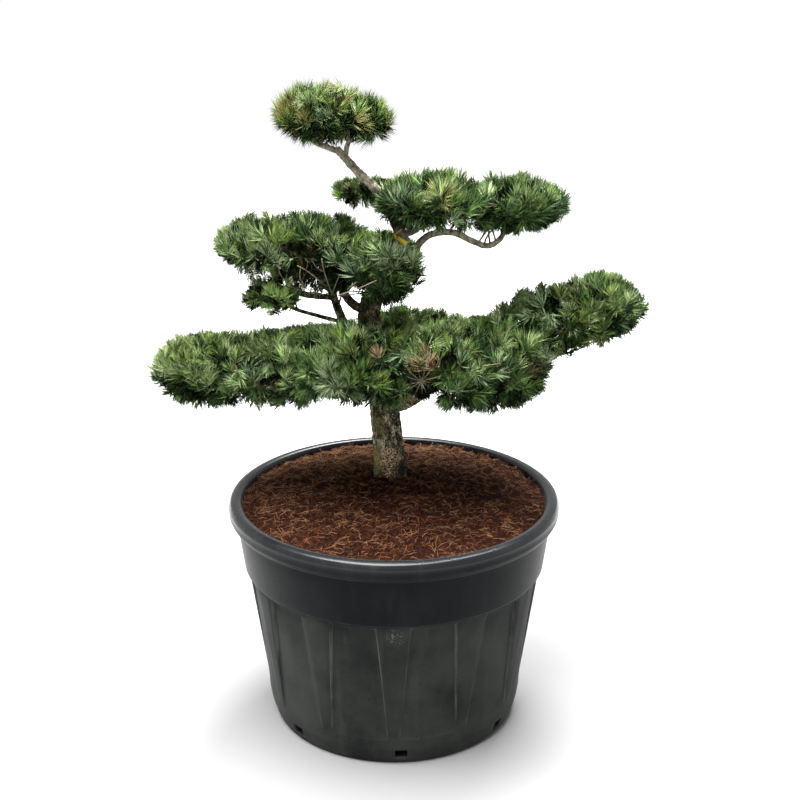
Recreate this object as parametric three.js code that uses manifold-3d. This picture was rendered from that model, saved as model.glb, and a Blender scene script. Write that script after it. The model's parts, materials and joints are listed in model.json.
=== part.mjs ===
// A cloud-pruned Japanese white pine standing in its round nursery pot.
// Millimetres, +Z up, front towards -Y. The origin is the middle of the pot's flat underside.
import * as THREE from 'three';
import { mergeVertices } from 'three/addons/utils/BufferGeometryUtils.js';
import Module from 'manifold-3d';

const wasm = await Module();
wasm.setup();

// Gap kept between neighbouring pieces, and the wider one round a mass's core
const GAP = 0.3;
const CORE_GAP = 1.5;

// Pot: outer profile as radius and height, from the foot to the rim's inner edge, then its inside
const POT_COLUMNS = 60;
const POT_RIBS = 12;
const POT_FOOT = [[243, 0], [247, 6]];
const POT_BODY = [[256.5, 36.5], [259.7, 60], [294, 316], [295, 323]];
const POT_COLLAR = [[301, 327], [314, 424]];
const POT_RIM = [[322, 427], [329, 439], [330, 455], [324.5, 464], [315.5, 467], [306.5, 465]];
const POT_FLOOR = 5;
const POT_INSIDE = [[303, 459], [283, 316], [240, POT_FLOOR]];
const FIELD_DEPTH = 6.5;
const FIELD_BOTTOM = 60;
const FIELD_TOP = 316;
const RIB_WIDTH_TOP = 60;
const RIB_WIDTH_BOTTOM = 22;
const RIB_EDGE = 2.5;

// Square drainage holes round the foot of the wall
const DRAIN_HOLES = 7;
const DRAIN_SIZE = [24, 40, 18];
const DRAIN_RADIUS = 250;
const DRAIN_HEIGHT = 26;
const DRAIN_FIRST = THREE.MathUtils.degToRad(3.3);

// Fibre soil: a plug that fills the pot, heaped to a flat crown under the trunk
const SOIL_COLUMNS = 30;
const SOIL_TOP = 474;
const SOIL_HEAP = [[112, SOIL_TOP], [214, 468]];
const SOIL_EDGE = 452;

// Trunk: places and radii from its foot to its fork
const TRUNK_PATH = [
  [-9, 60, 464, 32],
  [-9, 60, 484, 30.5],
  [-11, 60, 530, 30],
  [-19, 60, 625, 28.6],
  [-30, 62, 710, 26],
  [-47, 68, 785, 22.5],
  [-46, 71, 836, 20.5],
  [-26, 69, 872, 18.5],
  [4, 62, 925, 16],
  [15, 57, 965, 13.5],
  [4, 55, 1005, 10.5],
  [-31, 59, 1062, 8.2],
  [-72, 60, 1103, 7],
  [-107, 60, 1142, 6.2],
];

// Masses of foliage: middle, reach along X, along Y, up and down, and where the stem forks,
// measured from the middle
const PADS = [
  { name: 'top_left_pad', middle: [-137, 60, 1199], reach: [98, 98, 75, 62], fork: [-13, 2, -45] },
  { name: 'top_right_pad', middle: [-66, 68, 1190], reach: [77, 85, 59, 52], fork: [-9, -4, -20] },
  { name: 'upper_back_pad', middle: [-52, 150, 1045], reach: [79, 76, 36, 46], fork: [12, -20, -12] },
  { name: 'upper_middle_pad', middle: [70, 16, 1041], reach: [118, 120, 80, 60], fork: [-12, 8, -31] },
  { name: 'upper_right_pad', middle: [224, 56, 1036], reach: [119, 116, 68, 67], fork: [-12, -8, -46] },
  { name: 'middle_left_pad', middle: [-245, 30, 966], reach: [108, 108, 65, 66], fork: [34, 4, -34] },
  { name: 'middle_inner_pad', middle: [-137, 40, 953], reach: [112, 114, 79, 100], fork: [5, 8, -39] },
  { name: 'middle_right_pad', middle: [-22, -54, 944], reach: [90, 84, 78, 92], fork: [0, 34, -38] },
  { name: 'middle_back_pad', middle: [-35, 165, 922], reach: [98, 86, 46, 46], fork: [-20, -10, -26] },
  { name: 'middle_tuft', middle: [-231, 2, 867], reach: [65, 54, 52, 43], fork: [28, 14, -13] },
  { name: 'low_left_pad', middle: [-351, 0, 732], reach: [125, 124, 77, 92], fork: [56, 8, -36] },
  { name: 'low_inner_left_pad', middle: [-217, -22, 736], reach: [108, 122, 84, 84], fork: [20, -4, -38] },
  { name: 'low_front_left_pad', middle: [-85, -95, 762], reach: [122, 132, 87, 82], fork: [4, 26, -42] },
  { name: 'low_front_right_pad', middle: [78, -105, 760], reach: [120, 130, 88, 96], fork: [-14, 32, -46] },
  { name: 'low_right_pad', middle: [202, -15, 752], reach: [111, 132, 82, 112], fork: [-16, 10, -48] },
  { name: 'arm_inner_pad', middle: [304, 52, 806], reach: [108, 100, 81, 72], fork: [-6, -4, -40] },
  { name: 'arm_outer_pad', middle: [402, 60, 835], reach: [101, 108, 78, 78], fork: [-27, -8, -42] },
  { name: 'low_back_left_pad', middle: [-156, 178, 714], reach: [122, 108, 58, 48], fork: [30, -24, -18] },
  { name: 'low_back_pad', middle: [22, 205, 740], reach: [124, 104, 63, 54], fork: [-4, -36, -24] },
  { name: 'low_back_right_pad', middle: [174, 165, 740], reach: [116, 100, 52, 54], fork: [-38, -20, -24] },
];

// Boughs: the limb that each leaves and the height there, the mass that it runs to, the places
// that it passes, and its radius at both ends
const BOUGHS = [
  { name: 'left_stem', from: 'trunk', at: 762, to: 'middle_inner_pad', radii: [10, 7],
    via: [[-88, 56, 790], [-101, 50, 813], [-118, 50, 861]] },
  { name: 'top_right_bough', from: 'trunk', at: 1124, to: 'top_right_pad', radii: [5, 4],
    via: [[-87, 61, 1149]] },
  { name: 'upper_back_bough', from: 'trunk', at: 1038, to: 'upper_back_pad', radii: [6, 4.5],
    via: [[-30, 92, 1034]] },
  { name: 'upper_middle_bough', from: 'trunk', at: 978, to: 'upper_middle_pad', radii: [7.5, 6],
    via: [[40, 44, 990]] },
  { name: 'upper_right_bough', from: 'trunk', at: 922, to: 'upper_right_pad', radii: [7.5, 5],
    via: [[36, 50, 950], [68, 42, 981], [112, 34, 988], [150, 36, 971], [180, 42, 960], [203, 47, 972]] },
  { name: 'middle_left_bough', from: 'left_stem', at: 855, to: 'middle_left_pad', radii: [5.5, 4.5],
    via: [[-183, 36, 869], [-206, 33, 896]] },
  { name: 'tuft_bough', from: 'left_stem', at: 805, to: 'middle_tuft', radii: [4.5, 3.6],
    via: [[-149, 42, 822], [-189, 30, 838]] },
  { name: 'middle_right_bough', from: 'trunk', at: 868, to: 'middle_right_pad', radii: [9, 7],
    via: [] },
  { name: 'middle_back_bough', from: 'trunk', at: 824, to: 'middle_back_pad', radii: [10, 6],
    via: [[-78, 62, 838], [-97, 84, 860]] },
  { name: 'low_left_bough', from: 'trunk', at: 700, to: 'low_left_pad', radii: [14, 7],
    via: [[-130, 42, 694], [-230, 30, 690]] },
  { name: 'low_inner_left_bough', from: 'trunk', at: 668, to: 'low_inner_left_pad', radii: [11, 7],
    via: [[-110, 8, 672]] },
  { name: 'low_front_left_bough', from: 'trunk', at: 642, to: 'low_front_left_pad', radii: [13, 9],
    via: [[-48, -4, 676]] },
  { name: 'low_front_right_bough', from: 'trunk', at: 638, to: 'low_front_right_pad', radii: [20, 14],
    via: [[18, -6, 662]] },
  { name: 'low_right_bough', from: 'trunk', at: 684, to: 'low_right_pad', radii: [13, 8],
    via: [[80, 36, 690]] },
  { name: 'arm_inner_bough', from: 'trunk', at: 742, to: 'arm_inner_pad', radii: [11, 6],
    via: [[80, 72, 752], [190, 66, 748]] },
  { name: 'arm_outer_bough', from: 'trunk', at: 716, to: 'arm_outer_pad', radii: [12, 7],
    via: [[100, 84, 708], [220, 66, 700], [300, 52, 732], [342, 50, 759]] },
  { name: 'low_back_left_bough', from: 'trunk', at: 680, to: 'low_back_left_pad', radii: [12, 7],
    via: [[-90, 118, 680]] },
  { name: 'low_back_bough', from: 'trunk', at: 690, to: 'low_back_pad', radii: [12, 7],
    via: [[-6, 124, 698]] },
  { name: 'low_back_right_bough', from: 'trunk', at: 730, to: 'low_back_right_pad', radii: [11, 7],
    via: [[64, 112, 722]] },
];
const GROUND_BLOCK = [200, 200, 100];
const TRUNK_SIDES = 12;
const TRUNK_STEPS = 18;
const BOUGH_SIDES = 6;
const BOUGH_STEP = 60;
const STEM_SIDES = 5;
const ENTRY_DEPTH = 4;
const LAST_ENTRY = 0.97;
const STEM_LAP = 1;
const TOP_STEM_START = 0.99;
const TOP_STEM_RADII = [5.5, 4.5];
const SAMPLE_STEP = 4;
const CHECK_STEP = 5;

// Foliage: one spray of needles for so much of a mass's surface, each a cup of teeth that lean out
// by these degrees, on a core set in from the reach, with twigs from the fork
const SPRAY_AREA = 15300;
const SPRAY_LENGTH = [52, 64];
const SPRAY_FULL_DEPTH = 112;
const SPRAY_LIFT = 0.35;
const SPRAY_STRAY = 0.5;
const SPRAY_LOWEST = -0.62;
const WAIST_SIDES = 3;
const WAIST_RADIUS = 0.08;
const TOOTH_LEAN = [60, 30, 52, 24, 42];
const TOOTH_FITS = [1, 0.85, 0.7, 0.58];
const VALLEY_LEAN = 44;
const VALLEY_REACH = 0.5;
const CUP_MIDDLE = 0.5;
const ROOT_DEPTH = 22;
const CORE_INSET = 23;
const CORE_LEAST = 0.4;
const CORE_BELOW = 0.5;
const CORE_LUMPS = 0.12;
const TWIGS = 3;
const TWIG_RADII = [3.6, 2.4];
const TWIG_SIDES = 3;
const TWIG_REACH = 0.42;
const TWIG_CLEAR = 0.12;
const TWIG_STRAY = 0.6;
const WALL_GAP = 0.6;
const NEIGHBOUR_DISTANCE = 330;
const SURFACE_POWER = 1.6;
const NEAR_MARGIN = 24;
const LIMB_MARGIN = 2;
const GOLDEN_ANGLE = Math.PI * (3 - Math.sqrt(5));
const FIRST_SEED = 201;

// Yellow tie: a band wrapped aslant round the trunk just under its upper bend
const TIE_HEIGHT = 970;
const TIE_WIDTH = 10;
const TIE_THICKNESS = 2;
const TIE_SLANT = 0.58;
const TIE_SLAB = 90;

const material = (color, roughness) => new THREE.MeshStandardMaterial({ color, roughness, metalness: 0 });
const PLASTIC = material(0x2b2e33, 0.55);
const FIBRE = material(0x5a3320, 0.95);
const BARK = material(0x6b5f50, 0.9);
const NEEDLES = material(0x4a6b3a, 0.75);
const RIBBON = material(0xc9b400, 0.5);

// Random numbers from a seed, so that the plant always grows the same way
function seededRandom(seed) {
  let state = seed >>> 0;
  return () => {
    state = (state + 0x6d2b79f5) >>> 0;
    let mixed = Math.imul(state ^ (state >>> 15), state | 1);
    mixed ^= mixed + Math.imul(mixed ^ (mixed >>> 7), mixed | 61);
    return ((mixed ^ (mixed >>> 14)) >>> 0) / 4294967296;
  };
}

const between = ([low, high], share) => low + (high - low) * share;

// A closed solid from points and the triangles between them
function solidFrom(points, triangles) {
  const vertProperties = new Float32Array(points.flatMap((point) => point.toArray()));
  const triVerts = new Uint32Array(triangles.flat());
  return new wasm.Manifold(new wasm.Mesh({ numProp: 3, vertProperties, triVerts }));
}

// A closed solid from a three.js geometry, once the vertices that it doubles are merged
function solidOf(geometry) {
  const bare = geometry.clone();
  bare.deleteAttribute('normal');
  bare.deleteAttribute('uv');
  const merged = mergeVertices(bare, 1e-4);
  const vertProperties = new Float32Array(merged.attributes.position.array);
  const triVerts = new Uint32Array(merged.index.array);
  return new wasm.Manifold(new wasm.Mesh({ numProp: 3, vertProperties, triVerts }));
}

function meshOf(solid, name, finish) {
  const { vertProperties, triVerts } = solid.getMesh();
  const geometry = new THREE.BufferGeometry();
  geometry.setAttribute('position', new THREE.BufferAttribute(new Float32Array(vertProperties), 3));
  geometry.setIndex(new THREE.BufferAttribute(new Uint32Array(triVerts), 1));
  geometry.computeVertexNormals();
  const mesh = new THREE.Mesh(geometry, finish);
  mesh.name = name;
  return mesh;
}

const unite = (solids) => solids.reduce((whole, solid) => whole.add(solid));
const larger = (one, other) => (other.volume() > one.volume() ? other : one);
const largestPiece = (solid) => solid.decompose().reduce(larger);

// How far up the fields between the ribs a height is, from 0 at their foot to 1 at their top
function fieldShare(height) {
  return THREE.MathUtils.clamp((height - FIELD_BOTTOM) / (FIELD_TOP - FIELD_BOTTOM), 0, 1);
}

// Pot: a lathed wall whose columns move to the edges of the ribs and sink in the fields between
function buildPot() {
  const outside = [[0, 0], ...POT_FOOT, ...POT_BODY, ...POT_COLLAR, ...POT_RIM];
  const profile = [...outside, ...POT_INSIDE, [0, POT_FLOOR]].map((point) => new THREE.Vector2(...point));
  const geometry = new THREE.LatheGeometry(profile, POT_COLUMNS);
  const position = geometry.attributes.position;
  const period = (2 * Math.PI) / POT_RIBS;
  const columnsEach = POT_COLUMNS / POT_RIBS;
  const bodyFirst = 1 + POT_FOOT.length;
  const bodyLast = bodyFirst + POT_BODY.length - 1;
  for (let index = 0; index < position.count; index += 1) {
    const ring = index % profile.length;
    const column = Math.floor(index / profile.length) % POT_COLUMNS;
    const place = column % columnsEach;
    const { x: radius, y: height } = profile[ring];
    let offset = (place - 0.5) * (period / columnsEach);
    let sink = 0;
    if (ring >= bodyFirst && ring <= bodyLast) {
      const share = fieldShare(height);
      const half = between([RIB_WIDTH_BOTTOM, RIB_WIDTH_TOP], share) / 2 / radius;
      const edge = half + RIB_EDGE / radius;
      offset = [-half, half, edge, period / 2, period - edge][place];
      const inField = place >= 2 && height <= FIELD_TOP;
      sink = inField ? FIELD_DEPTH * Math.sqrt(share) : 0;
    }
    const angle = -Math.PI / 2 + Math.floor(column / columnsEach) * period + offset;
    position.setXYZ(index, (radius - sink) * Math.cos(angle), (radius - sink) * Math.sin(angle), height);
  }
  const holes = Array.from({ length: DRAIN_HOLES }, (_, hole) => {
    const angle = DRAIN_FIRST + (hole * 2 * Math.PI) / DRAIN_HOLES;
    const box = new THREE.BoxGeometry(...DRAIN_SIZE);
    box.translate(0, -DRAIN_RADIUS, DRAIN_HEIGHT);
    box.rotateZ(angle);
    return solidOf(box);
  });
  return solidOf(geometry).subtract(unite(holes));
}

// Soil: the plug inside the pot, just clear of its wall
function buildSoil() {
  const shrink = Math.cos(Math.PI / POT_COLUMNS);
  const inner = (radius) => radius * shrink - GAP;
  const [rim, waist, floor] = POT_INSIDE;
  const edgeShare = (SOIL_EDGE - waist[1]) / (rim[1] - waist[1]);
  const profile = [
    [0, floor[1] + GAP],
    [inner(floor[0]), floor[1] + GAP],
    [inner(waist[0]), waist[1]],
    [inner(between([waist[0], rim[0]], edgeShare)), SOIL_EDGE],
    ...SOIL_HEAP.toReversed(),
    [0, SOIL_TOP],
  ];
  const points = profile.map(([radius, height]) => new THREE.Vector2(radius, height));
  const geometry = new THREE.LatheGeometry(points, SOIL_COLUMNS);
  geometry.rotateX(Math.PI / 2);
  return solidOf(geometry);
}

// A limb is a smooth curve with a radius that runs evenly between its stations
function makeLimb(name, stations, sides, steps) {
  const places = stations.map(([x, y, z]) => new THREE.Vector3(x, y, z));
  const curve = new THREE.CatmullRomCurve3(places, false, 'centripetal');
  const radii = stations.map((station) => station[3]);
  const radiusAt = (share) => {
    const place = Math.min(share, 0.999999) * (radii.length - 1);
    const whole = Math.floor(place);
    return between([radii[whole], radii[whole + 1]], place - whole);
  };
  return { name, curve, radiusAt, sides, steps, start: 0, end: 1 };
}

// The tapering tube of a limb between its start and end, made thicker and longer by grow
function limbSolid(limb, grow = 0) {
  const { curve, sides, steps, start, end } = limb;
  const points = [];
  let across = new THREE.Vector3(1, 0, 0);
  for (let step = 0; step <= steps; step += 1) {
    const share = between([start, end], step / steps);
    const tangent = curve.getTangent(share);
    const centre = curve.getPoint(share);
    if (step === 0) centre.addScaledVector(tangent, -grow);
    if (step === steps) centre.addScaledVector(tangent, grow);
    across = across.clone().addScaledVector(tangent, -across.dot(tangent)).normalize();
    const along = new THREE.Vector3().crossVectors(tangent, across);
    const radius = limb.radiusAt(share) + grow;
    for (let side = 0; side < sides; side += 1) {
      const angle = (2 * Math.PI * side) / sides;
      const corner = centre.clone().addScaledVector(across, radius * Math.cos(angle));
      points.push(corner.addScaledVector(along, radius * Math.sin(angle)));
    }
  }
  const triangles = [];
  for (let step = 0; step < steps; step += 1) {
    for (let side = 0; side < sides; side += 1) {
      const next = (side + 1) % sides;
      const low = step * sides;
      const high = low + sides;
      triangles.push([low + side, low + next, high + next], [low + side, high + next, high + side]);
    }
  }
  const last = steps * sides;
  for (let side = 1; side < sides - 1; side += 1) {
    triangles.push([0, side + 1, side], [last, last + side, last + side + 1]);
  }
  return solidFrom(points, triangles);
}

// Where along a limb its middle line reaches a height
function shareAtHeight(limb, height) {
  let low = limb.start;
  let high = limb.end;
  for (let step = 0; step < 30; step += 1) {
    const middle = (low + high) / 2;
    if (limb.curve.getPoint(middle).z < height) low = middle;
    else high = middle;
  }
  return low;
}

// The space of a mass: an egg with its own reach up and down, cut off by walls to its neighbours
function makeSpace({ name, middle, reach, fork }, index) {
  const centre = new THREE.Vector3(...middle);
  const [a, b, up, down] = reach;
  const axes = (direction) => new THREE.Vector3(a, b, direction.z > 0 ? up : down);
  const start = new THREE.Vector3(...fork).add(centre);
  return { name, centre, reach, axes, fork: start, walls: [], seed: FIRST_SEED + index };
}

// How far a space reaches from its middle along a direction
function reachAlong(space, direction) {
  return 1 / direction.clone().divide(space.axes(direction)).length();
}

// Every two neighbouring spaces get a flat wall between them, shared by how far each reaches
function raiseWalls(spaces) {
  for (const space of spaces) {
    for (const other of spaces) {
      const offset = other.centre.clone().sub(space.centre);
      const distance = offset.length();
      if (other === space || distance > NEIGHBOUR_DISTANCE) continue;
      const normal = offset.clone().normalize();
      const own = reachAlong(space, normal);
      const theirs = reachAlong(other, normal.clone().negate());
      const limit = space.centre.dot(normal) + (distance * own) / (own + theirs) - WALL_GAP;
      space.walls.push({ normal, limit });
    }
  }
}

function insideWalls(space, point, margin = 0) {
  return space.walls.every(({ normal, limit }) => point.dot(normal) <= limit - margin);
}

function insideSpace(space, point) {
  const offset = point.clone().sub(space.centre);
  return offset.divide(space.axes(offset)).length() <= 1 && insideWalls(space, point);
}

// The curve of a bough runs on as the stem of its mass, and the bough ends where it enters
function makeBough(bough, limbs, spaces) {
  const parent = limbs.find(({ name }) => name === bough.from);
  const space = spaces.find(({ name }) => name === bough.to);
  const root = parent.curve.getPoint(shareAtHeight(parent, bough.at));
  const places = [root.toArray(), ...bough.via, space.fork.toArray()];
  const last = places.length - 1;
  const stations = places.map((place, index) => [...place, between(bough.radii, index / last)]);
  const limb = makeLimb(bough.name, stations, BOUGH_SIDES, 1);
  const length = limb.curve.getLength();
  let end = 1;
  while (end > 0 && insideSpace(space, limb.curve.getPoint(end))) end -= 1 / length;
  limb.end = Math.min(end + ENTRY_DEPTH / length, LAST_ENTRY);
  limb.steps = Math.max(2, Math.ceil((length * limb.end) / BOUGH_STEP));
  space.stem = { ...limb, start: limb.end - STEM_LAP / length, end: 1, sides: STEM_SIDES, steps: 1 };
  return limb;
}

// Distance test from a point to every limb's surface
function nearLimb(limbs, point, margin) {
  const isNear = ({ centre, radius }) => centre.distanceTo(point) < radius + margin;
  return limbs.some(({ samples }) => samples.some(isNear));
}

function sampleLimb(limb) {
  const count = Math.ceil(limb.curve.getLength() / SAMPLE_STEP);
  limb.samples = Array.from({ length: count + 1 }, (_, index) => {
    const share = between([limb.start, limb.end], index / count);
    return { centre: limb.curve.getPoint(share), radius: limb.radiusAt(share) };
  });
}

// Core of a mass: a lumpy egg well inside its space, with room left round the limbs
function buildCore(space, random, cutters) {
  const geometry = new THREE.IcosahedronGeometry(1, 1);
  geometry.deleteAttribute('normal');
  geometry.deleteAttribute('uv');
  const merged = mergeVertices(geometry, 1e-4);
  const position = merged.attributes.position;
  const share = (reach) => Math.max(reach - CORE_INSET, reach * CORE_LEAST);
  const points = [];
  for (let index = 0; index < position.count; index += 1) {
    const point = new THREE.Vector3().fromBufferAttribute(position, index);
    const height = point.z > 0 ? share(space.reach[2]) : space.reach[3] * CORE_BELOW;
    const lump = 1 + (random() - 0.5) * 2 * CORE_LUMPS;
    const size = new THREE.Vector3(share(space.reach[0]), share(space.reach[1]), height);
    point.multiply(size).multiplyScalar(lump);
    point.add(space.centre);
    for (const { normal, limit } of space.walls) {
      const past = point.dot(normal) - (limit - WALL_GAP);
      if (past > 0) point.addScaledVector(normal, -past);
    }
    points.push(point.clone());
  }
  const triangles = Array.from(merged.index.array);
  const whole = solidFrom(points, triangles);
  return largestPiece(cutters.reduce((core, cutter) => core.subtract(cutter), whole));
}

// A spray: a toothed cup of needle bunches that opens out of a slim root sunk in the core
function buildSpray(root, foot, axis, length, turn, fits) {
  const across = new THREE.Vector3(axis.z, axis.x, axis.y).cross(axis).normalize();
  const along = new THREE.Vector3().crossVectors(axis, across);
  const at = (lean, reach, angle) => foot.clone()
    .addScaledVector(axis, reach * length * Math.cos(lean))
    .addScaledVector(across, reach * length * Math.sin(lean) * Math.cos(angle))
    .addScaledVector(along, reach * length * Math.sin(lean) * Math.sin(angle));
  const corners = 2 * TOOTH_LEAN.length;
  const points = [root, at(0, CUP_MIDDLE, 0)];
  for (let corner = 0; corner < corners; corner += 1) {
    const angle = turn + (corner * 2 * Math.PI) / corners;
    const isTooth = corner % 2 === 0;
    const lean = THREE.MathUtils.degToRad(isTooth ? TOOTH_LEAN[corner / 2] : VALLEY_LEAN);
    const size = isTooth ? TOOTH_FITS.find((share) => fits(at(lean, share, angle))) : VALLEY_REACH;
    if (size === undefined) return null;
    points.push(at(lean, size, angle));
  }
  const waist = points.length;
  const triangles = [];
  for (let side = 0; side < WAIST_SIDES; side += 1) {
    points.push(at(Math.PI / 2, WAIST_RADIUS, turn + (side * 2 * Math.PI) / WAIST_SIDES));
    triangles.push([waist + ((side + 1) % WAIST_SIDES), waist + side, 0]);
  }
  let held = 0;
  for (let corner = 0; corner < corners; corner += 1) {
    const [left, right] = [2 + corner, 2 + ((corner + 1) % corners)];
    triangles.push([left, right, 1], [right, left, waist + held]);
    const next = Math.round(((corner + 1) * WAIST_SIDES) / corners) % WAIST_SIDES;
    if (next !== held) {
      triangles.push([right, waist + held, waist + next]);
      held = next;
    }
  }
  return solidFrom(points, triangles);
}

// Surface of the egg that a space is cut from, by the usual power mean of its sections
function eggSurface({ reach: [a, b, up, down] }) {
  const half = (up + down) / 2;
  const sections = [a * b, a * half, b * half].map((section) => section ** SURFACE_POWER);
  const mean = sections.reduce((sum, section) => sum + section) / sections.length;
  return 4 * Math.PI * mean ** (1 / SURFACE_POWER);
}

// A mass: its stem, the twigs that part from the fork, the core, and sprays all round
function growPad(space, limbs) {
  const random = seededRandom(space.seed);
  const near = limbs.filter((limb) => limb.samples.some(({ centre, radius }) => {
    const offset = centre.clone().sub(space.centre);
    return offset.divide(space.axes(offset).addScalar(radius + NEAR_MARGIN)).length() < 1;
  }));
  const core = buildCore(space, random, near.map((limb) => limbSolid(limb, CORE_GAP)));
  const pieces = [core, limbSolid(space.stem)];
  const clearOfLimbs = (from, to, margin) => {
    const count = Math.ceil(from.distanceTo(to) / CHECK_STEP);
    return Array.from({ length: count + 1 }, (_, index) => from.clone().lerp(to, index / count))
      .every((point) => !nearLimb(near, point, margin) && insideWalls(space, point, WALL_GAP));
  };
  const [a, b, up, down] = space.reach;
  for (let twig = 0; twig < TWIGS; twig += 1) {
    const angle = (2 * Math.PI * (twig + random() * TWIG_STRAY)) / TWIGS;
    const away = new THREE.Vector3(a * Math.cos(angle), b * Math.sin(angle), 0).multiplyScalar(TWIG_REACH);
    const target = space.centre.clone().add(away);
    const begin = space.fork.clone().lerp(target, TWIG_CLEAR);
    if (!clearOfLimbs(begin, target, TWIG_RADII[0])) continue;
    const stations = [[...space.fork.toArray(), TWIG_RADII[0]], [...target.toArray(), TWIG_RADII[1]]];
    pieces.push(limbSolid(makeLimb('twig', stations, TWIG_SIDES, 1)));
  }
  const surface = eggSurface(space);
  const shortened = Math.min(1, (up + down) / SPRAY_FULL_DEPTH);
  const count = Math.round(surface / SPRAY_AREA / shortened);
  for (let spray = 0; spray < count; spray += 1) {
    const height = between([1, SPRAY_LOWEST], (spray + 0.5) / count);
    const angle = spray * GOLDEN_ANGLE + random() * SPRAY_STRAY;
    const turn = random() * Math.PI;
    const length = between(SPRAY_LENGTH, random()) * shortened;
    const flat = Math.sqrt(1 - height * height);
    const direction = new THREE.Vector3(flat * Math.cos(angle), flat * Math.sin(angle), height);
    const axes = space.axes(direction);
    const edge = space.centre.clone().add(direction.clone().multiply(axes));
    if (!insideWalls(space, edge, WALL_GAP)) continue;
    const axis = direction.clone().divide(axes).normalize();
    axis.z += SPRAY_LIFT;
    axis.normalize();
    const foot = edge.clone().addScaledVector(axis, -length);
    const root = foot.clone().lerp(space.centre, ROOT_DEPTH / foot.distanceTo(space.centre));
    const fits = (tip) => insideSpace(space, tip) && clearOfLimbs(foot, tip, LIMB_MARGIN);
    if (!clearOfLimbs(root, edge, LIMB_MARGIN)) continue;
    const grown = buildSpray(root, foot, axis, length, turn, fits);
    if (grown) pieces.push(grown);
  }
  const cutters = near.map((limb) => limbSolid(limb, GAP));
  return largestPiece(cutters.reduce((mass, cutter) => mass.subtract(cutter), unite(pieces)));
}

// Tie: a slanted slice of a sleeve that fits round the trunk
function buildTie(trunk) {
  const place = trunk.curve.getPoint(shareAtHeight(trunk, TIE_HEIGHT));
  const slab = new THREE.BoxGeometry(TIE_SLAB, TIE_SLAB, TIE_WIDTH);
  slab.rotateY(TIE_SLANT);
  slab.translate(place.x, place.y, place.z);
  return limbSolid(trunk, GAP + TIE_THICKNESS).subtract(limbSolid(trunk, GAP)).intersect(solidOf(slab));
}

function buildTrunk() {
  const trunk = makeLimb('trunk', TRUNK_PATH, TRUNK_SIDES, TRUNK_STEPS);
  const [x, y] = TRUNK_PATH[0];
  const below = new THREE.BoxGeometry(...GROUND_BLOCK);
  below.translate(x, y, SOIL_TOP + GAP - GROUND_BLOCK[2] / 2);
  return { trunk, solid: limbSolid(trunk).subtract(solidOf(below)) };
}

function buildTree() {
  const tree = new THREE.Group();
  tree.name = 'tree';
  const spaces = PADS.map(makeSpace);
  raiseWalls(spaces);
  const { trunk, solid } = buildTrunk();
  tree.add(meshOf(solid, 'trunk', BARK));
  const limbs = [trunk];
  for (const bough of BOUGHS) {
    const limb = makeBough(bough, limbs, spaces);
    const whole = limbs.reduce((rest, other) => rest.subtract(limbSolid(other, GAP)), limbSolid(limb));
    tree.add(meshOf(largestPiece(whole), bough.name, BARK));
    limbs.push(limb);
  }
  limbs.forEach(sampleLimb);
  for (const space of spaces) {
    if (!space.stem) {
      const tip = trunk.curve.getPoint(TOP_STEM_START);
      const [thick, thin] = TOP_STEM_RADII;
      const stations = [[...tip.toArray(), thick], [...space.fork.toArray(), thin]];
      space.stem = makeLimb('stem', stations, STEM_SIDES, 1);
    }
    tree.add(meshOf(growPad(space, limbs), space.name, NEEDLES));
  }
  tree.add(meshOf(buildTie(trunk), 'tie', RIBBON));
  return tree;
}

const plant = new THREE.Group();
plant.name = 'potted_pine';
plant.add(meshOf(buildPot(), 'pot', PLASTIC));
plant.add(meshOf(buildSoil(), 'soil', FIBRE));
plant.add(buildTree());

export default plant;
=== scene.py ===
"""A cloud-pruned Japanese white pine in its round nursery pot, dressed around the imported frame.

Metres, +Z up, front towards -Y, origin in the middle of the pot's flat underside.
"""

from __future__ import annotations

import json
import logging
import math
from collections.abc import Iterable
from dataclasses import dataclass, field, fields
from enum import Enum
from functools import cached_property

import bmesh
import bpy
import numpy as np
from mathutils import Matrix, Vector

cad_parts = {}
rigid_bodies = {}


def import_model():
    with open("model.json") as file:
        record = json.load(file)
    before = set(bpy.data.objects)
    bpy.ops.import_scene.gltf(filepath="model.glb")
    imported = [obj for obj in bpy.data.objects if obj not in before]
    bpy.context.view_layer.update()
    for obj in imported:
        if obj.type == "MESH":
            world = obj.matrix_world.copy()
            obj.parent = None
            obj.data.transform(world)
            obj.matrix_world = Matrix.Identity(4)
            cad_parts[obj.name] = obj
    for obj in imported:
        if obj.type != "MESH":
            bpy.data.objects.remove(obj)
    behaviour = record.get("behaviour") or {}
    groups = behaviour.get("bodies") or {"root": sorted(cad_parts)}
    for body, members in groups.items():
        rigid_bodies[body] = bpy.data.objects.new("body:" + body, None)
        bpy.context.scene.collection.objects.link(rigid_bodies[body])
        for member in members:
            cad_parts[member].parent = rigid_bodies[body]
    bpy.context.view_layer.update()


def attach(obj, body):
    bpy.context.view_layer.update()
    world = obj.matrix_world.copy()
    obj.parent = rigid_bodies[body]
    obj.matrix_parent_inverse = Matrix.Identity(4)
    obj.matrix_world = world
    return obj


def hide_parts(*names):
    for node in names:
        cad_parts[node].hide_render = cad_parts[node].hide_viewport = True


LOG = logging.getLogger("potted_pine")
BODY = "root"

Point = tuple[float, float, float]
Colour = tuple[float, float, float]
Span = tuple[float, float]
Outline = tuple[Span, ...]
Array = np.ndarray
Socket = bpy.types.NodeSocket
Material = bpy.types.Material
Piece = bpy.types.Object

GOLDEN_ANGLE = math.pi * (3 - math.sqrt(5))
QUARTER_TURN = math.pi / 2
FULL_TURN = 2 * math.pi


def unit(vectors: Array) -> Array:
    """Scales vectors in the last axis to length one."""
    return vectors / np.maximum(np.linalg.norm(vectors, axis=-1, keepdims=True), 1e-12)


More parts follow.
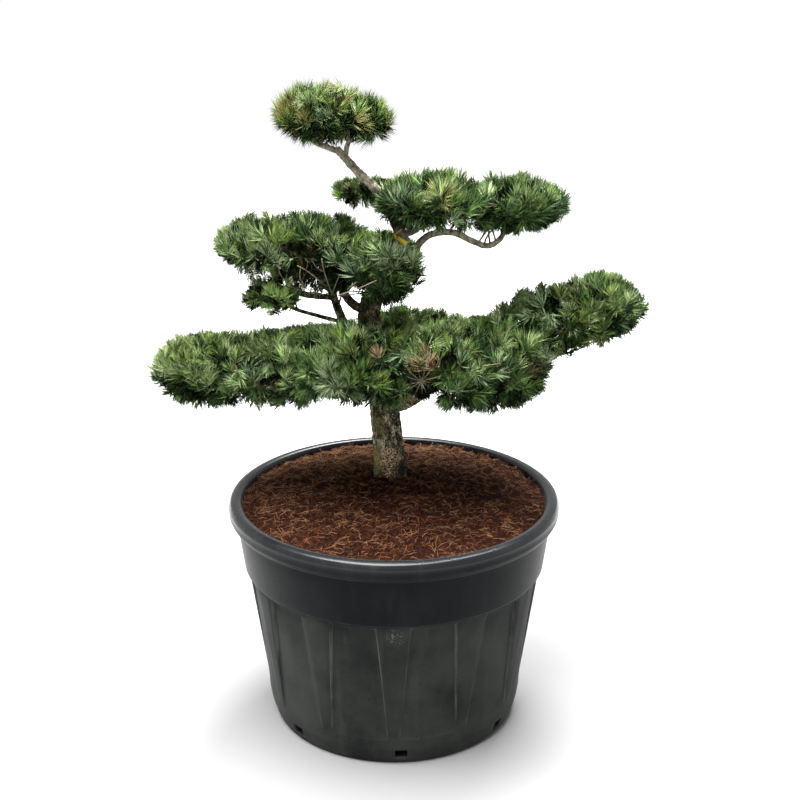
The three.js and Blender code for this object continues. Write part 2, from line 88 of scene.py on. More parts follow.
def mix(low: float, high: float, share: float) -> float:
    """Goes from low to high as share goes from 0 to 1."""
    return low + (high - low) * share


def smooth(value: Array) -> Array:
    """Eases a value from 0 to 1 and holds it at both ends."""
    held = np.clip(value, 0.0, 1.0)
    return held * held * (3 - 2 * held)


def turns(count: int) -> Array:
    """Gives that many angles, evenly round a circle."""
    return np.arange(count) * FULL_TURN / count


def swing(first: Array, second: Array, angles: Array) -> Array:
    """Turns directions by angles from the first towards the second."""
    return first * np.cos(angles)[..., None] + second * np.sin(angles)[..., None]


def round_axis(reach: Array, angles: Array, heights: Array) -> Array:
    """Gives points by their distance from the Z axis, their angle round it and their height."""
    return np.stack([reach * np.cos(angles), reach * np.sin(angles), heights], -1)


def lies_near(points: Array, place: Point, reach: float) -> Array:
    """Says which points are less than a reach away from a place."""
    return np.linalg.norm(points - np.array(place), axis=1) < reach


def across_to(axes: Array) -> tuple[Array, Array]:
    """Finds two directions square to each axis and to each other.

    Args:
        axes: Unit vectors, one in each row.

    Returns:
        Two arrays of unit vectors.
    """
    helper = np.where(np.abs(axes[:, 2:3]) < 0.8, np.array([[0.0, 0.0, 1.0]]), np.array([[1.0, 0.0, 0.0]]))
    first = unit(np.cross(axes, helper))
    return first, np.cross(axes, first)


class Hue(Enum):
    """The colours that needles come in on this tree; the darkest also serve as painted shade deep in the
    masses, the palest green as painted light on masses that lie in shadow.
    """

    BLACK = (0.0015, 0.0030, 0.0012)
    DEEP = (0.0045, 0.0110, 0.0035)
    SHADE = (0.011, 0.026, 0.007)
    LEAF = (0.030, 0.062, 0.014)
    FRESH = (0.062, 0.108, 0.025)
    BLUE = (0.028, 0.060, 0.026)
    SILVER = (0.120, 0.160, 0.082)
    LIME = (0.082, 0.128, 0.020)
    GLOW = (0.150, 0.195, 0.080)
    OLIVE = (0.062, 0.066, 0.018)
    GOLD = (0.122, 0.114, 0.034)
    BROWN = (0.026, 0.017, 0.008)
    RUST = (0.105, 0.054, 0.026)
    STRAW = (0.220, 0.165, 0.100)
    # Painted light: the palest green brightens masses that lie in the shadow of others.
    PALE = (0.260, 0.410, 0.110)


HUES = list(Hue)
Palette = tuple[tuple[Hue, float], ...]

COMPANIONS = {
    Hue.BLACK: (Hue.DEEP, Hue.BLACK),
    Hue.DEEP: (Hue.SHADE, Hue.BLACK),
    Hue.SHADE: (Hue.LEAF, Hue.DEEP),
    Hue.LEAF: (Hue.FRESH, Hue.DEEP),
    Hue.FRESH: (Hue.GLOW, Hue.SHADE),
    Hue.BLUE: (Hue.SILVER, Hue.DEEP),
    Hue.SILVER: (Hue.SILVER, Hue.SHADE),
    Hue.LIME: (Hue.GLOW, Hue.SHADE),
    Hue.GLOW: (Hue.GLOW, Hue.LEAF),
    Hue.OLIVE: (Hue.LIME, Hue.SHADE),
    Hue.GOLD: (Hue.GOLD, Hue.OLIVE),
    Hue.BROWN: (Hue.OLIVE, Hue.BLACK),
    Hue.RUST: (Hue.STRAW, Hue.BROWN),
    Hue.STRAW: (Hue.STRAW, Hue.BROWN),
    Hue.PALE: (Hue.PALE, Hue.GLOW),
}


def hue_numbers(hues: Iterable[Hue]) -> Array:
    """Gives each hue's number in the list of all of them."""
    return np.array([HUES.index(hue) for hue in hues])


def palette(**weights: float) -> Palette:
    """Makes a palette of hues by how common each is."""
    return tuple((Hue[name], weight) for name, weight in weights.items())


class Nodes:
    """A node tree that is put together step by step, with the place that its patterns lie on."""

    place: Socket

    def __init__(self, tree: bpy.types.NodeTree) -> None:
        """Takes the tree."""
        self.tree = tree

    def feed(self, socket: Socket, value: object) -> None:
        """Links a socket to another one, or sets its value."""
        if isinstance(value, Socket):
            self.tree.links.new(value, socket)
        else:
            socket.default_value = value

    def add(self, kind: str, settings: dict[str, object] | None = None, **sockets: object) -> bpy.types.Node:
        """Adds a node.

        Args:
            kind: Its Blender type.
            settings: Its properties.
            **sockets: A socket to link or a value to set for each input, with _ for a space.

        Returns:
            The new node.
        """
        made = self.tree.nodes.new(kind)
        for name, value in (settings or {}).items():
            setattr(made, name, value)
        for label, value in sockets.items():
            self.feed(next(s for s in made.inputs if s.name == label.replace("_", " ") and s.enabled), value)
        return made

    def result(self, node: bpy.types.Node) -> Socket:
        """Gives a node's first output that is in use."""
        return next(s for s in node.outputs if s.enabled)

    def get(self, kind: str, settings: dict[str, object] | None = None, **sockets: object) -> Socket:
        """Adds a node as above and gives its first output that is in use."""
        return self.result(self.add(kind, settings, **sockets))

    def maths(self, operation: str, *values: object, kind: str = "ShaderNodeMath") -> Socket:
        """Does one sum.

        Args:
            operation: Which sum it is.
            *values: A socket to link or a value to set for each input in turn.
            kind: The Blender type of the node that does it.

        Returns:
            What comes out.
        """
        made = self.add(kind, {"operation": operation})
        for socket, value in zip([s for s in made.inputs if s.enabled], values):
            self.feed(socket, value)
        return self.result(made)

    def vectors(self, operation: str, *values: object) -> Socket:
        """Does one sum on vectors."""
        return self.maths(operation, *values, kind="ShaderNodeVectorMath")

    def times(self, first: object, second: object) -> Socket:
        """Multiplies two numbers."""
        return self.maths("MULTIPLY", first, second)

    def part(self, vector: Socket, axis: str) -> Socket:
        """Gives a vector's X, Y or Z."""
        return self.add("ShaderNodeSeparateXYZ", Vector=vector).outputs[axis]

    def ranged(self, value: Socket, source: Span, target: Span = (0.0, 1.0), ease: str = "LINEAR") -> Socket:
        """Carries a value over from a source range to a target range and holds it at both ends."""
        return self.get("ShaderNodeMapRange", {"interpolation_type": ease}, Value=value, From_Min=source[0],
                        From_Max=source[1], To_Min=target[0], To_Max=target[1])

    def spread(self, value: Socket, low: float, high: float) -> Socket:
        """Stretches the part from low to high over 0 to 1, eased at both ends."""
        return self.ranged(value, (low, high), ease="SMOOTHSTEP")

    def noise(self, scale: float, detail: float = 4.0, roughness: float = 0.55,
              place: Socket | None = None) -> Socket:
        """Adds a cloudy pattern and gives its value."""
        place = place or self.place
        return self.get("ShaderNodeTexNoise", Vector=place, Scale=scale, Detail=detail, Roughness=roughness)

    def wander(self, place: Socket, scale: float, detail: float = 2.0) -> Socket:
        """Adds three cloudy patterns and gives their values as a vector."""
        return self.add("ShaderNodeTexNoise", Vector=place, Scale=scale, Detail=detail).outputs["Color"]

    def cells(self, scale: object, feature: str = "F1", place: Socket | None = None) -> Socket:
        """Adds a pattern of cells and gives the distance in it."""
        return self.get("ShaderNodeTexVoronoi", {"feature": feature}, Vector=place or self.place, Scale=scale)


class Painter(Nodes):
    """Makes one material, with patterns on Object coordinates."""

    def __init__(self, name: str) -> None:
        """Starts the material under the finish's plain name."""
        self.material = bpy.data.materials.new(name)
        self.material.use_nodes = True
        super().__init__(self.material.node_tree)
        self.shader = self.tree.nodes["Principled BSDF"]

    @cached_property
    def place(self) -> Socket:
        """The object's own coordinates."""
        return self.add("ShaderNodeTexCoord").outputs["Object"]

    @cached_property
    def height(self) -> Socket:
        """How high a point is, in metres."""
        return self.part(self.place, "Z")

    def coat(self, **values: object) -> Material:
        """Links or sets inputs of the shader, named with _ for a space, and gives the material."""
        for label, value in values.items():
            self.feed(self.shader.inputs[label.replace("_", " ")], value)
        return self.material

    def squashed(self, rise: float, move: Point = (0.0, 0.0, 0.0)) -> Socket:
        """Gives coordinates that rise more slowly, so that patterns on them are taller, and are moved."""
        return self.get("ShaderNodeMapping", Vector=self.place, Location=move, Scale=(1.0, 1.0, rise))

    def warped(self, place: Socket, scale: float, amount: float) -> Socket:
        """Shifts coordinates by a cloudy pattern so that nothing on them looks regular."""
        centred = self.vectors("SUBTRACT", self.wander(place, scale), (0.5, 0.5, 0.5))
        return self.vectors("MULTIPLY_ADD", centred, (amount, amount, amount), place)

    def ramp(self, value: Socket, *stops: tuple[float, Colour]) -> Socket:
        """Turns a value into a colour, by places from 0 to 1 and the colour at each."""
        made = self.add("ShaderNodeValToRGB", Fac=value)
        points = made.color_ramp.elements
        while len(points) < len(stops):
            points.new(0.5)
        for point, (at, colour) in zip(points, stops):
            point.position = at
            point.color = (*colour, 1.0)
        return made.outputs["Color"]

    def blend(self, share: Socket, base: Socket | Colour, top: Socket | Colour) -> Socket:
        """Lays one colour over another by a share."""
        below, above = ((*colour, 1.0) if isinstance(colour, tuple) else colour for colour in (base, top))
        return self.get("ShaderNodeMix", {"data_type": "RGBA"}, Factor=share, A=below, B=above)

    def facing(self, direction: Point) -> Socket:
        """Gives how far the surface faces a direction, from -1 to 1."""
        return self.vectors("DOT_PRODUCT", self.add("ShaderNodeNewGeometry").outputs["Normal"], direction)

    def near(self, centre: Point, inner: float, outer: float, squash: float = 1.0) -> Socket:
        """Gives 1 round a place and 0 further out than outer, over a taller space where squash is under 1."""
        middle = (centre[0], centre[1], centre[2] * squash)
        return self.spread(self.vectors("DISTANCE", self.squashed(squash), middle), outer, inner)

    def bump(self, value: Socket, depth: float, strength: float = 1.0) -> None:
        """Gives the shader a pattern's relief, so many metres deep, which shows so strongly."""
        self.coat(Normal=self.get("ShaderNodeBump", Height=value, Distance=depth, Strength=strength))


@dataclass(frozen=True)
class NeedleFinish:
    """Satin pine needles of one plain colour."""

    hue: Hue
    roughness: float = 0.50
    sheen: float = 0.16
    full_sheen_green: float = 0.06

    def material(self) -> Material:
        """Makes the Blender material."""
        paint = Painter(f"needles_{self.hue.name.lower()}")
        sheen = self.sheen * min(1.0, self.hue.value[1] / self.full_sheen_green)
        return paint.coat(Base_Color=(*self.hue.value, 1.0), Roughness=self.roughness,
                          Specular_IOR_Level=sheen)


@dataclass(frozen=True)
class PlainFinish:
    """A matt material of one colour with a little cloudiness."""

    name: str
    colour: Colour
    dark: Colour
    roughness: float = 0.8
    sheen: float = 0.08
    scale: float = 220.0

    def material(self) -> Material:
        """Makes the Blender material."""
        paint = Painter(self.name)
        clouds = paint.ramp(paint.noise(self.scale), (0.35, self.dark), (0.65, self.colour))
        return paint.coat(Base_Color=clouds, Roughness=self.roughness, Specular_IOR_Level=self.sheen)


@dataclass(frozen=True)
class BarkFinish:
    """Rough grey-olive pine bark: mossy, flaking tan low on the trunk, smooth and pale on young wood, with
    painted shade in its fissures and on the right front of its foot.
    """

    crack: Colour = (0.0022, 0.0020, 0.0014)
    dark: Colour = (0.006, 0.006, 0.0035)
    scale: Colour = (0.120, 0.104, 0.062)
    pale: Colour = (0.420, 0.380, 0.260)
    moss: Colour = (0.085, 0.080, 0.022)
    young: Colour = (0.230, 0.205, 0.155)
    young_dark: Colour = (0.070, 0.060, 0.044)
    flake: Colour = (0.560, 0.400, 0.250)
    flake_dark: Colour = (0.016, 0.007, 0.004)
    lichen: Colour = (0.180, 0.165, 0.060)
    flaky_place: Point = (-0.010, 0.030, 0.518)
    lichen_place: Point = (-0.036, 0.040, 0.520)
    flaky_reach: float = 0.021
    flaky_squash: float = 0.55
    damp_place: Point = (0.024, 0.034, 0.500)
    damp_reach: float = 0.034
    damp_side: Point = (-1.0, -0.2, 0.1)
    young_heights: Span = (0.910, 1.000)
    plate_rise: float = 0.45
    cloud_rise: float = 0.6
    skin_rise: float = 0.7
    fleck_shift: Point = (0.3, 0.1, 0.2)
    roughness: float = 0.86
    sheen: float = 0.08
    relief: float = 0.0011

    def material(self) -> Material:
        """Makes the Blender material."""
        paint = Painter("pine_bark")
        tall = paint.squashed(self.plate_rise)
        clouds = paint.noise(72.0, 6.0, 0.70, paint.squashed(self.cloud_rise))
        fine = paint.noise(210.0, 6.0, 0.72, tall)
        flecks = paint.noise(420.0, 3.0, 0.6, paint.squashed(self.cloud_rise, self.fleck_shift))
        fissures = paint.cells(125.0, "DISTANCE_TO_EDGE", paint.warped(tall, 95.0, 0.010))
        colour = paint.ramp(clouds, (0.44, self.dark), (0.52, self.scale), (0.62, self.pale))
        rough = paint.blend(paint.spread(fine, 0.56, 0.36), colour, self.dark)
        lit = paint.blend(paint.spread(flecks, 0.60, 0.68), rough, self.pale)
        damp_side = paint.spread(paint.facing(self.damp_side), -0.3, 0.6)
        damp = paint.times(paint.spread(paint.noise(22.0), 0.42, 0.58), damp_side)
        mossy = paint.blend(paint.times(damp, 0.75), lit, self.moss)
        # The fissures are painted near black: partly the bark's own darker colour there, partly painted
        # shade.
        crack_shaded = paint.blend(paint.times(paint.spread(fissures, 0.09, 0.0), 0.8), mossy, self.crack)
        skin_clouds = paint.noise(150.0, 5.0, 0.6, paint.squashed(self.skin_rise))
        skin = paint.ramp(skin_clouds, (0.35, self.young_dark), (0.60, self.young))
        aged = paint.blend(paint.spread(paint.height, *self.young_heights), crack_shaded, skin)
        crusted = self.foot_marks(paint, aged)
        # Painted shade: the bark darkens round a spot on the right front of the trunk's foot.
        shaded = paint.near(self.damp_place, 0.4 * self.damp_reach, self.damp_reach)
        relief = paint.maths("ADD", fine, paint.times(paint.spread(fissures, 0.0, 0.10), 0.6))
        paint.bump(relief, self.relief, 0.9)
        return paint.coat(Base_Color=paint.blend(paint.times(shaded, 0.85), crusted, self.dark),
                          Roughness=self.roughness, Specular_IOR_Level=self.sheen)

    def foot_marks(self, paint: Painter, bark: Socket) -> Socket:
        """Lays lichen and tan flakes side by side over the trunk's foot."""
        flakes = paint.ramp(paint.noise(330.0, 3.0, 0.6), (0.46, self.flake_dark), (0.58, self.flake))
        ragged = paint.spread(paint.noise(120.0, 4.0, 0.7), 0.36, 0.50)
        marked = bark
        for place, inner, outer, mark in (
            (self.lichen_place, 0.3, 1.0, self.lichen),
            (self.flaky_place, 0.75, 1.1, flakes),
        ):
            near = paint.near(place, inner * self.flaky_reach, outer * self.flaky_reach, self.flaky_squash)
            marked = paint.blend(paint.times(near, ragged), marked, mark)
        return marked


@dataclass(frozen=True)
class SoilFinish:
    """Moist crumbs of coir between the fibres, painted almost black as shade in the low spots of their
    relief.
    """

    hollow: Colour = (0.0012, 0.0006, 0.0004)
    crumb: Colour = (0.012, 0.0034, 0.0015)
    husk: Colour = (0.050, 0.0140, 0.0050)
    roughness: float = 0.95
    sheen: float = 0.05
    relief: float = 0.004

    def material(self) -> Material:
        """Makes the Blender material."""
        paint = Painter("coir_crumbs")
        crumbs = paint.noise(140.0, 8.0, 0.7)
        paint.bump(crumbs, self.relief)
        # Painted shade: the low spots of the crumbs' relief are coloured almost black.
        colour = paint.ramp(crumbs, (0.34, self.hollow), (0.52, self.crumb), (0.72, self.husk))
        return paint.coat(Base_Color=colour, Roughness=self.roughness, Specular_IOR_Level=self.sheen)


@dataclass(frozen=True)
class PotFinish:
    """Charcoal moulded plastic that has stood outdoors: glossy collar, dusty wall with ribs whose pale edges
    are partly painted highlight, streaks, drops.
    """

    collar: Colour = (0.0007, 0.0011, 0.0020)
    wall: Colour = (0.0050, 0.0060, 0.0056)
    dust: Colour = (0.0270, 0.0300, 0.0260)
    speck: Colour = (0.0005, 0.0005, 0.0005)
    scrap: Colour = (0.080, 0.083, 0.075)
    scrap_place: Point = (0.002, -0.290, 0.300)
    scrap_reach: Span = (0.004, 0.024)
    shoulder: float = 0.322
    grimy_height: float = 0.130
    soft_edge: float = 0.004
    sheen: float = 0.03
    sheen_roughness: float = 0.55
    gloss: float = 0.05
    roughness: Span = (0.13, 0.62)
    lacquer: float = 0.26
    lacquer_roughness: float = 0.26
    rim_height: float = 0.448
    rim_worn: float = 0.15
    streak_rise: float = 0.07
    rib_pitch: float = math.radians(15.0)
    rib_edges: Span = (0.043, 0.113)
    rib_heights: Span = (0.060, 0.316)
    rib_fade: float = 0.02
    rib_line_widths: Span = (0.009, 0.003)
    relief: float = 0.0005

    def material(self) -> Material:
        """Makes the Blender material."""
        paint = Painter("pot_plastic")
        clouds = paint.noise(9.0, 5.0, 0.6)
        streaks = paint.noise(34.0, 6.0, 0.62, paint.squashed(self.streak_rise))
        grain = paint.noise(420.0, 4.0, 0.65)
        low = paint.spread(paint.height, self.shoulder + self.soft_edge, self.shoulder - self.soft_edge)
        film = paint.times(paint.spread(clouds, 0.22, 0.80), paint.maths("ADD", paint.times(low, 0.6), 0.12))
        streaked = paint.times(paint.spread(streaks, 0.50, 0.78), paint.maths("ADD", low, 0.35))
        grime = paint.spread(clouds, 0.35, 0.60)
        foot = paint.times(paint.spread(paint.height, self.grimy_height, 0.0), grime)
        flecks = paint.times(paint.spread(paint.cells(150.0), 0.16, 0.08), paint.spread(grain, 0.52, 0.60))
        wetted = paint.spread(paint.noise(30.0), 0.50, 0.56)
        drops = paint.times(paint.spread(paint.cells(95.0), 0.15, 0.10), wetted)
        # Pale rib edges: partly rubbed plastic, partly painted highlight.
        rib_wear_and_highlight = paint.times(self.rib_line(paint), paint.spread(streaks, 0.40, 0.66))
        torn = paint.spread(paint.noise(230.0, 3.0), 0.53, 0.58)
        patch = paint.times(paint.near(self.scrap_place, *self.scrap_reach), torn)
        colour = paint.blend(low, self.collar, self.wall)
        for share, strength, mark in (
            (film, 1.0, self.dust),
            (streaked, 0.40, self.dust),
            (foot, 0.6, self.dust),
            (flecks, 0.9, self.dust),
            (drops, 1.0, self.speck),
            (rib_wear_and_highlight, 0.65, self.scrap),
            (patch, 0.7, self.scrap),
        ):
            colour = paint.blend(paint.times(share, strength), colour, mark)
        paint.bump(paint.maths("ADD", grain, paint.times(clouds, 2.0)), self.relief, 0.6)
        rim = paint.spread(paint.height, self.rim_height + self.soft_edge, self.rim_height - self.soft_edge)
        dull = paint.times(paint.maths("ADD", streaks, low), 0.5)
        worn = paint.maths("ADD", dull, paint.times(rim, self.rim_worn))
        rough = paint.ranged(worn, (0.0, 1.0), self.roughness)
        polished = paint.spread(paint.height, self.rim_height - self.soft_edge, self.rim_height + 0.006)
        lacquer = paint.times(polished, self.lacquer)
        return paint.coat(Base_Color=colour, Roughness=rough, Specular_IOR_Level=self.gloss,
                          Coat_Weight=lacquer, Coat_Roughness=self.lacquer_roughness,
                          Sheen_Weight=self.sheen, Sheen_Roughness=self.sheen_roughness)

    def rib_line(self, paint: Painter) -> Socket:
        """Marks the two long edges of every rib pale: partly plastic rubbed pale, partly painted highlight.
        """
        turn = paint.maths("ARCTAN2", paint.part(paint.place, "X"), paint.part(paint.place, "Y"))
        aside = paint.maths("PINGPONG", turn, self.rib_pitch)
        edge = paint.ranged(paint.height, self.rib_heights, self.rib_edges)
        away = paint.maths("ABSOLUTE", paint.maths("SUBTRACT", aside, edge))
        foot = self.rib_heights[0]
        between = paint.times(paint.spread(paint.height, foot, foot + self.rib_fade),
                              paint.spread(paint.height, self.shoulder, self.shoulder - self.soft_edge))
        return paint.times(paint.spread(away, *self.rib_line_widths), between)


def linked(name: str, data: bpy.types.ID) -> Piece:
    """Makes an object of some data and puts it in the scene."""
    made = bpy.data.objects.new(name, data)
    bpy.context.scene.collection.objects.link(made)
    return made


def mesh_object(
    name: str,
    corners: Array,
    faces: Array,
    materials: list[Material],
    picks: Array | None = None,
    is_smooth: bool = True,
) -> Piece:
    """Makes an object from arrays, with its place in its mesh.

    Args:
        name: The piece's name.
        corners: Its vertices, with X, Y and Z in the last axis.
        faces: Vertex numbers, three or four in each row.
        materials: Its materials in order.
        picks: Which material each face takes.
        is_smooth: Whether its faces are shaded smooth.

    Returns:
        The linked object.
    """
    mesh = bpy.data.meshes.new(name)
    count, sides = faces.shape
    mesh.vertices.add(corners.size // 3)
    mesh.vertices.foreach_set("co", corners.astype(np.float32).ravel())
    mesh.loops.add(count * sides)
    mesh.loops.foreach_set("vertex_index", faces.astype(np.int32).ravel())
    mesh.polygons.add(count)
    mesh.polygons.foreach_set("loop_start", np.arange(0, count * sides, sides, dtype=np.int32))
    for material in materials:
        mesh.materials.append(material)
    if picks is not None:
        mesh.polygons.foreach_set("material_index", picks.astype(np.int32))
    mesh.polygons.foreach_set("use_smooth", np.full(count, is_smooth))
    mesh.update(calc_edges=True)
    mesh.validate()
    return linked(name, mesh)


def welded(piece: Piece, distance: float = 1e-6) -> Piece:
    """Merges a piece's vertices that lie on each other, as at a turned shape's poles, and gives it back."""
    sheet = bmesh.new()
    sheet.from_mesh(piece.data)
    bmesh.ops.remove_doubles(sheet, verts=sheet.verts, dist=distance)
    bmesh.ops.recalc_face_normals(sheet, faces=sheet.faces)
    sheet.to_mesh(piece.data)
    sheet.free()
    return piece


def baked(carrier: Piece, name: str) -> Piece:
    """Keeps what an object's modifiers make of it as a new piece, a plain mesh."""
    bpy.context.view_layer.update()
    graph = bpy.context.evaluated_depsgraph_get()
    mesh = bpy.data.meshes.new_from_object(carrier.evaluated_get(graph))
    mesh.name = name
    return linked(name, mesh)


def ring_faces(rings: int, sides: int, is_closed: bool = False) -> Array:
    """Lists the quads between rings of vertices.

    Args:
        rings: How many rings there are.
        sides: How many vertices a ring has.
        is_closed: Whether the last ring joins the first.

    Returns:
        Four vertex numbers in each row, facing out of a tube that climbs.
    """
    low = np.arange(rings if is_closed else rings - 1)[:, None] * sides
    high = (low + sides) % (rings * sides)
    side = np.arange(sides)[None, :]
    beside = (side + 1) % sides
    return np.stack([low + side, low + beside, high + beside, high + side], -1).reshape(-1, 4)


def seat(piece: Piece, slot: str, *nodes: str) -> None:
    """Puts a finished piece on the plant's body.

    Args:
        piece: The piece, in its place.
        slot: The record's material slot; not used.
        *nodes: The frame's nodes that it stands for.
    """
    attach(piece, BODY)
    if nodes:
        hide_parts(*nodes)
    LOG.info("%s: %d faces", piece.name, len(piece.data.polygons))


class Recipe(Nodes):
    """A Geometry Nodes tree that is run on one object."""

    def __init__(self, name: str, sizes: dict[str, float | int]) -> None:
        """Starts the tree with its named inputs.

        Args:
            name: The tree's name.
            sizes: Each input's name and value.
        """
        super().__init__(bpy.data.node_groups.new(name, "GeometryNodeTree"))
        self.sizes = sizes
        for way in ("INPUT", "OUTPUT"):
            self.tree.interface.new_socket("Geometry", in_out=way, socket_type="NodeSocketGeometry")
        for label, value in sizes.items():
            kind = "NodeSocketInt" if isinstance(value, int) else "NodeSocketFloat"
            self.tree.interface.new_socket(label, in_out="INPUT", socket_type=kind)
        self.entry = self.tree.nodes.new("NodeGroupInput")

    @cached_property
    def place(self) -> Socket:
        """Where each vertex lies."""
        return self.get("GeometryNodeInputPosition")

    @cached_property
    def normal(self) -> Socket:
        """Where each vertex or face faces."""
        return self.get("GeometryNodeInputNormal")

    def size(self, label: str) -> Socket:
        """Gives one of the tree's inputs."""
        return self.entry.outputs[label]

    def combined(self, **parts: Socket) -> Socket:
        """Makes a vector of its X, Y and Z, zero where none is given."""
        return self.get("ShaderNodeCombineXYZ", **parts)

    def random(self, low: float, high: float, seed: int) -> Socket:
        """Gives each point its own number from low to high."""
        return self.get("FunctionNodeRandomValue", {"data_type": "FLOAT"}, Min=low, Max=high, Seed=seed)

    def reaches(self, value: Socket, level: object) -> Socket:
        """Says where a value is a level or more."""
        settings = {"data_type": "FLOAT", "operation": "GREATER_EQUAL"}
        return self.get("FunctionNodeCompare", settings, A=value, B=level)

    def moved(self, geometry: Socket, offset: Socket, **selection: Socket) -> Socket:
        """Moves the vertices of a geometry, or the selected ones."""
        return self.get("GeometryNodeSetPosition", Geometry=geometry, Offset=offset, **selection)

    def dressed(self, geometry: Socket, material: Material, **selection: Socket) -> Socket:
        """Gives the faces of a geometry, or the selected ones, a material."""
        return self.get("GeometryNodeSetMaterial", Geometry=geometry, Material=material, **selection)

    def run(self, carrier: Piece, result: Socket, name: str) -> Piece:
        """Runs the tree on an object and keeps what it makes as a plain mesh.

        Args:
            carrier: The object that the tree starts from.
            result: The geometry that comes out.
            name: The name of the new piece.

        Returns:
            The new object, with no modifier.
        """
        leave = self.tree.nodes.new("NodeGroupOutput")
        self.tree.links.new(result, leave.inputs["Geometry"])
        modifier = carrier.modifiers.new(self.tree.name, "NODES")
        modifier.node_group = self.tree
        for item in self.tree.interface.items_tree:
            if item.in_out == "INPUT" and item.name in self.sizes:
                modifier[item.identifier] = self.sizes[item.name]
        carrier.update_tag()
        made = baked(carrier, name)
        carrier.modifiers.remove(modifier)
        return made


@dataclass(frozen=True)
class PadPlan:
    """A mass of foliage: its middle, its reach along X and Y, up and down, and where its stem forks."""

    name: str
    middle: Point
    reach: tuple[float, float, float, float]
    fork: Point
    hues: Palette
    lowest: float = -0.80


@dataclass(frozen=True)
class BoughPlan:
    """A bough: the limb and height that it leaves, the mass that it feeds, its radii and its bends."""

    name: str
    parent: str
    height: float
    pad: str
    radii: Span
    via: tuple[Point, ...] = ()


TRUNK_PATH = (
    (-0.009, 0.060, 0.464, 0.032),
    (-0.009, 0.060, 0.484, 0.0305),
    (-0.011, 0.060, 0.530, 0.030),
    (-0.019, 0.060, 0.625, 0.0286),
    (-0.030, 0.062, 0.710, 0.026),
    (-0.047, 0.068, 0.785, 0.0225),
    (-0.046, 0.071, 0.836, 0.0205),
    (-0.026, 0.069, 0.872, 0.0185),
    (0.004, 0.062, 0.925, 0.016),
    (0.015, 0.057, 0.965, 0.0135),
    (0.004, 0.055, 1.005, 0.0105),
    (-0.031, 0.059, 1.062, 0.0082),
    (-0.072, 0.060, 1.103, 0.007),
    (-0.107, 0.060, 1.142, 0.0062),
)

FRESH = palette(LEAF=6, BLUE=1.5, FRESH=3.5, SILVER=0.4, OLIVE=1, SHADE=2)
COOL = palette(BLUE=3, LEAF=5, SILVER=0.8, FRESH=2.5, SHADE=2)
SOBER = palette(LEAF=4, BLUE=3, SHADE=7, DEEP=1.5, SILVER=0.4)
TANNED = palette(OLIVE=6, LEAF=4, GOLD=1.5, FRESH=2, SHADE=2)
MOTTLED = palette(LEAF=6, BLUE=2, FRESH=4, OLIVE=1.5, SHADE=2)
BRIGHT = palette(FRESH=6, LEAF=3, LIME=2, SILVER=1.5, BLUE=1)
# Painted light: the tuft's palette is mostly the palest green, because the cloud above shades it.
LIT_TUFT = palette(PALE=7, GLOW=2, LIME=1)
TAWNY = palette(OLIVE=5, SHADE=2, SILVER=1.5, GOLD=1, LEAF=3)
# Painted shade: the inner shells take these two palettes of the darkest hues.
INNER_SHADE = palette(SHADE=1, DEEP=5, BLACK=4, BROWN=1)
CORE_SHADE = palette(BLACK=6, DEEP=1)
# Painted light: these two palettes lighten the upper back mass and the low back masses, which lie in the
# shadow of the clouds above them.
LIT_GOLDEN = palette(GOLD=2, PALE=4, GLOW=3, OLIVE=2)
LIT_GREEN = palette(GLOW=4, PALE=1.5, LIME=2, FRESH=4)
MEADOW = palette(GLOW=3.5, LIME=4, FRESH=4, LEAF=2)
SUNLIT = palette(GLOW=4, SILVER=2, LIME=3, FRESH=4, LEAF=1)

GAPS = (
    ((0.006, 0.034, 0.972), 0.020),
    ((0.006, 0.008, 0.978), 0.021),
    ((0.006, -0.020, 0.984), 0.021),
    ((0.006, -0.048, 0.991), 0.021),
    ((0.006, -0.078, 0.998), 0.021),
    ((0.030, -0.056, 0.650), 0.020),
    ((0.030, -0.090, 0.662), 0.020),
    ((0.030, -0.124, 0.674), 0.020),
    ((0.030, -0.158, 0.686), 0.020),
    ((0.046, -0.100, 0.680), 0.022),
    ((0.046, -0.140, 0.688), 0.022),
    ((0.046, -0.180, 0.698), 0.022),
)

# Hollows in the masses: sprays there sit deeper and take the darkest hues as painted shade.
HOLLOWS = (
    ((-0.170, -0.060, 0.975), 0.032),
    ((-0.158, -0.060, 0.937), 0.044),
    ((-0.126, -0.060, 0.908), 0.050),
    ((-0.080, -0.070, 0.898), 0.048),
    ((-0.050, -0.075, 0.880), 0.036),
    ((-0.235, -0.135, 0.730), 0.034),
    ((0.060, -0.232, 0.768), 0.046),
    ((0.056, -0.205, 0.722), 0.044),
    ((0.105, -0.060, 1.004), 0.034),
)

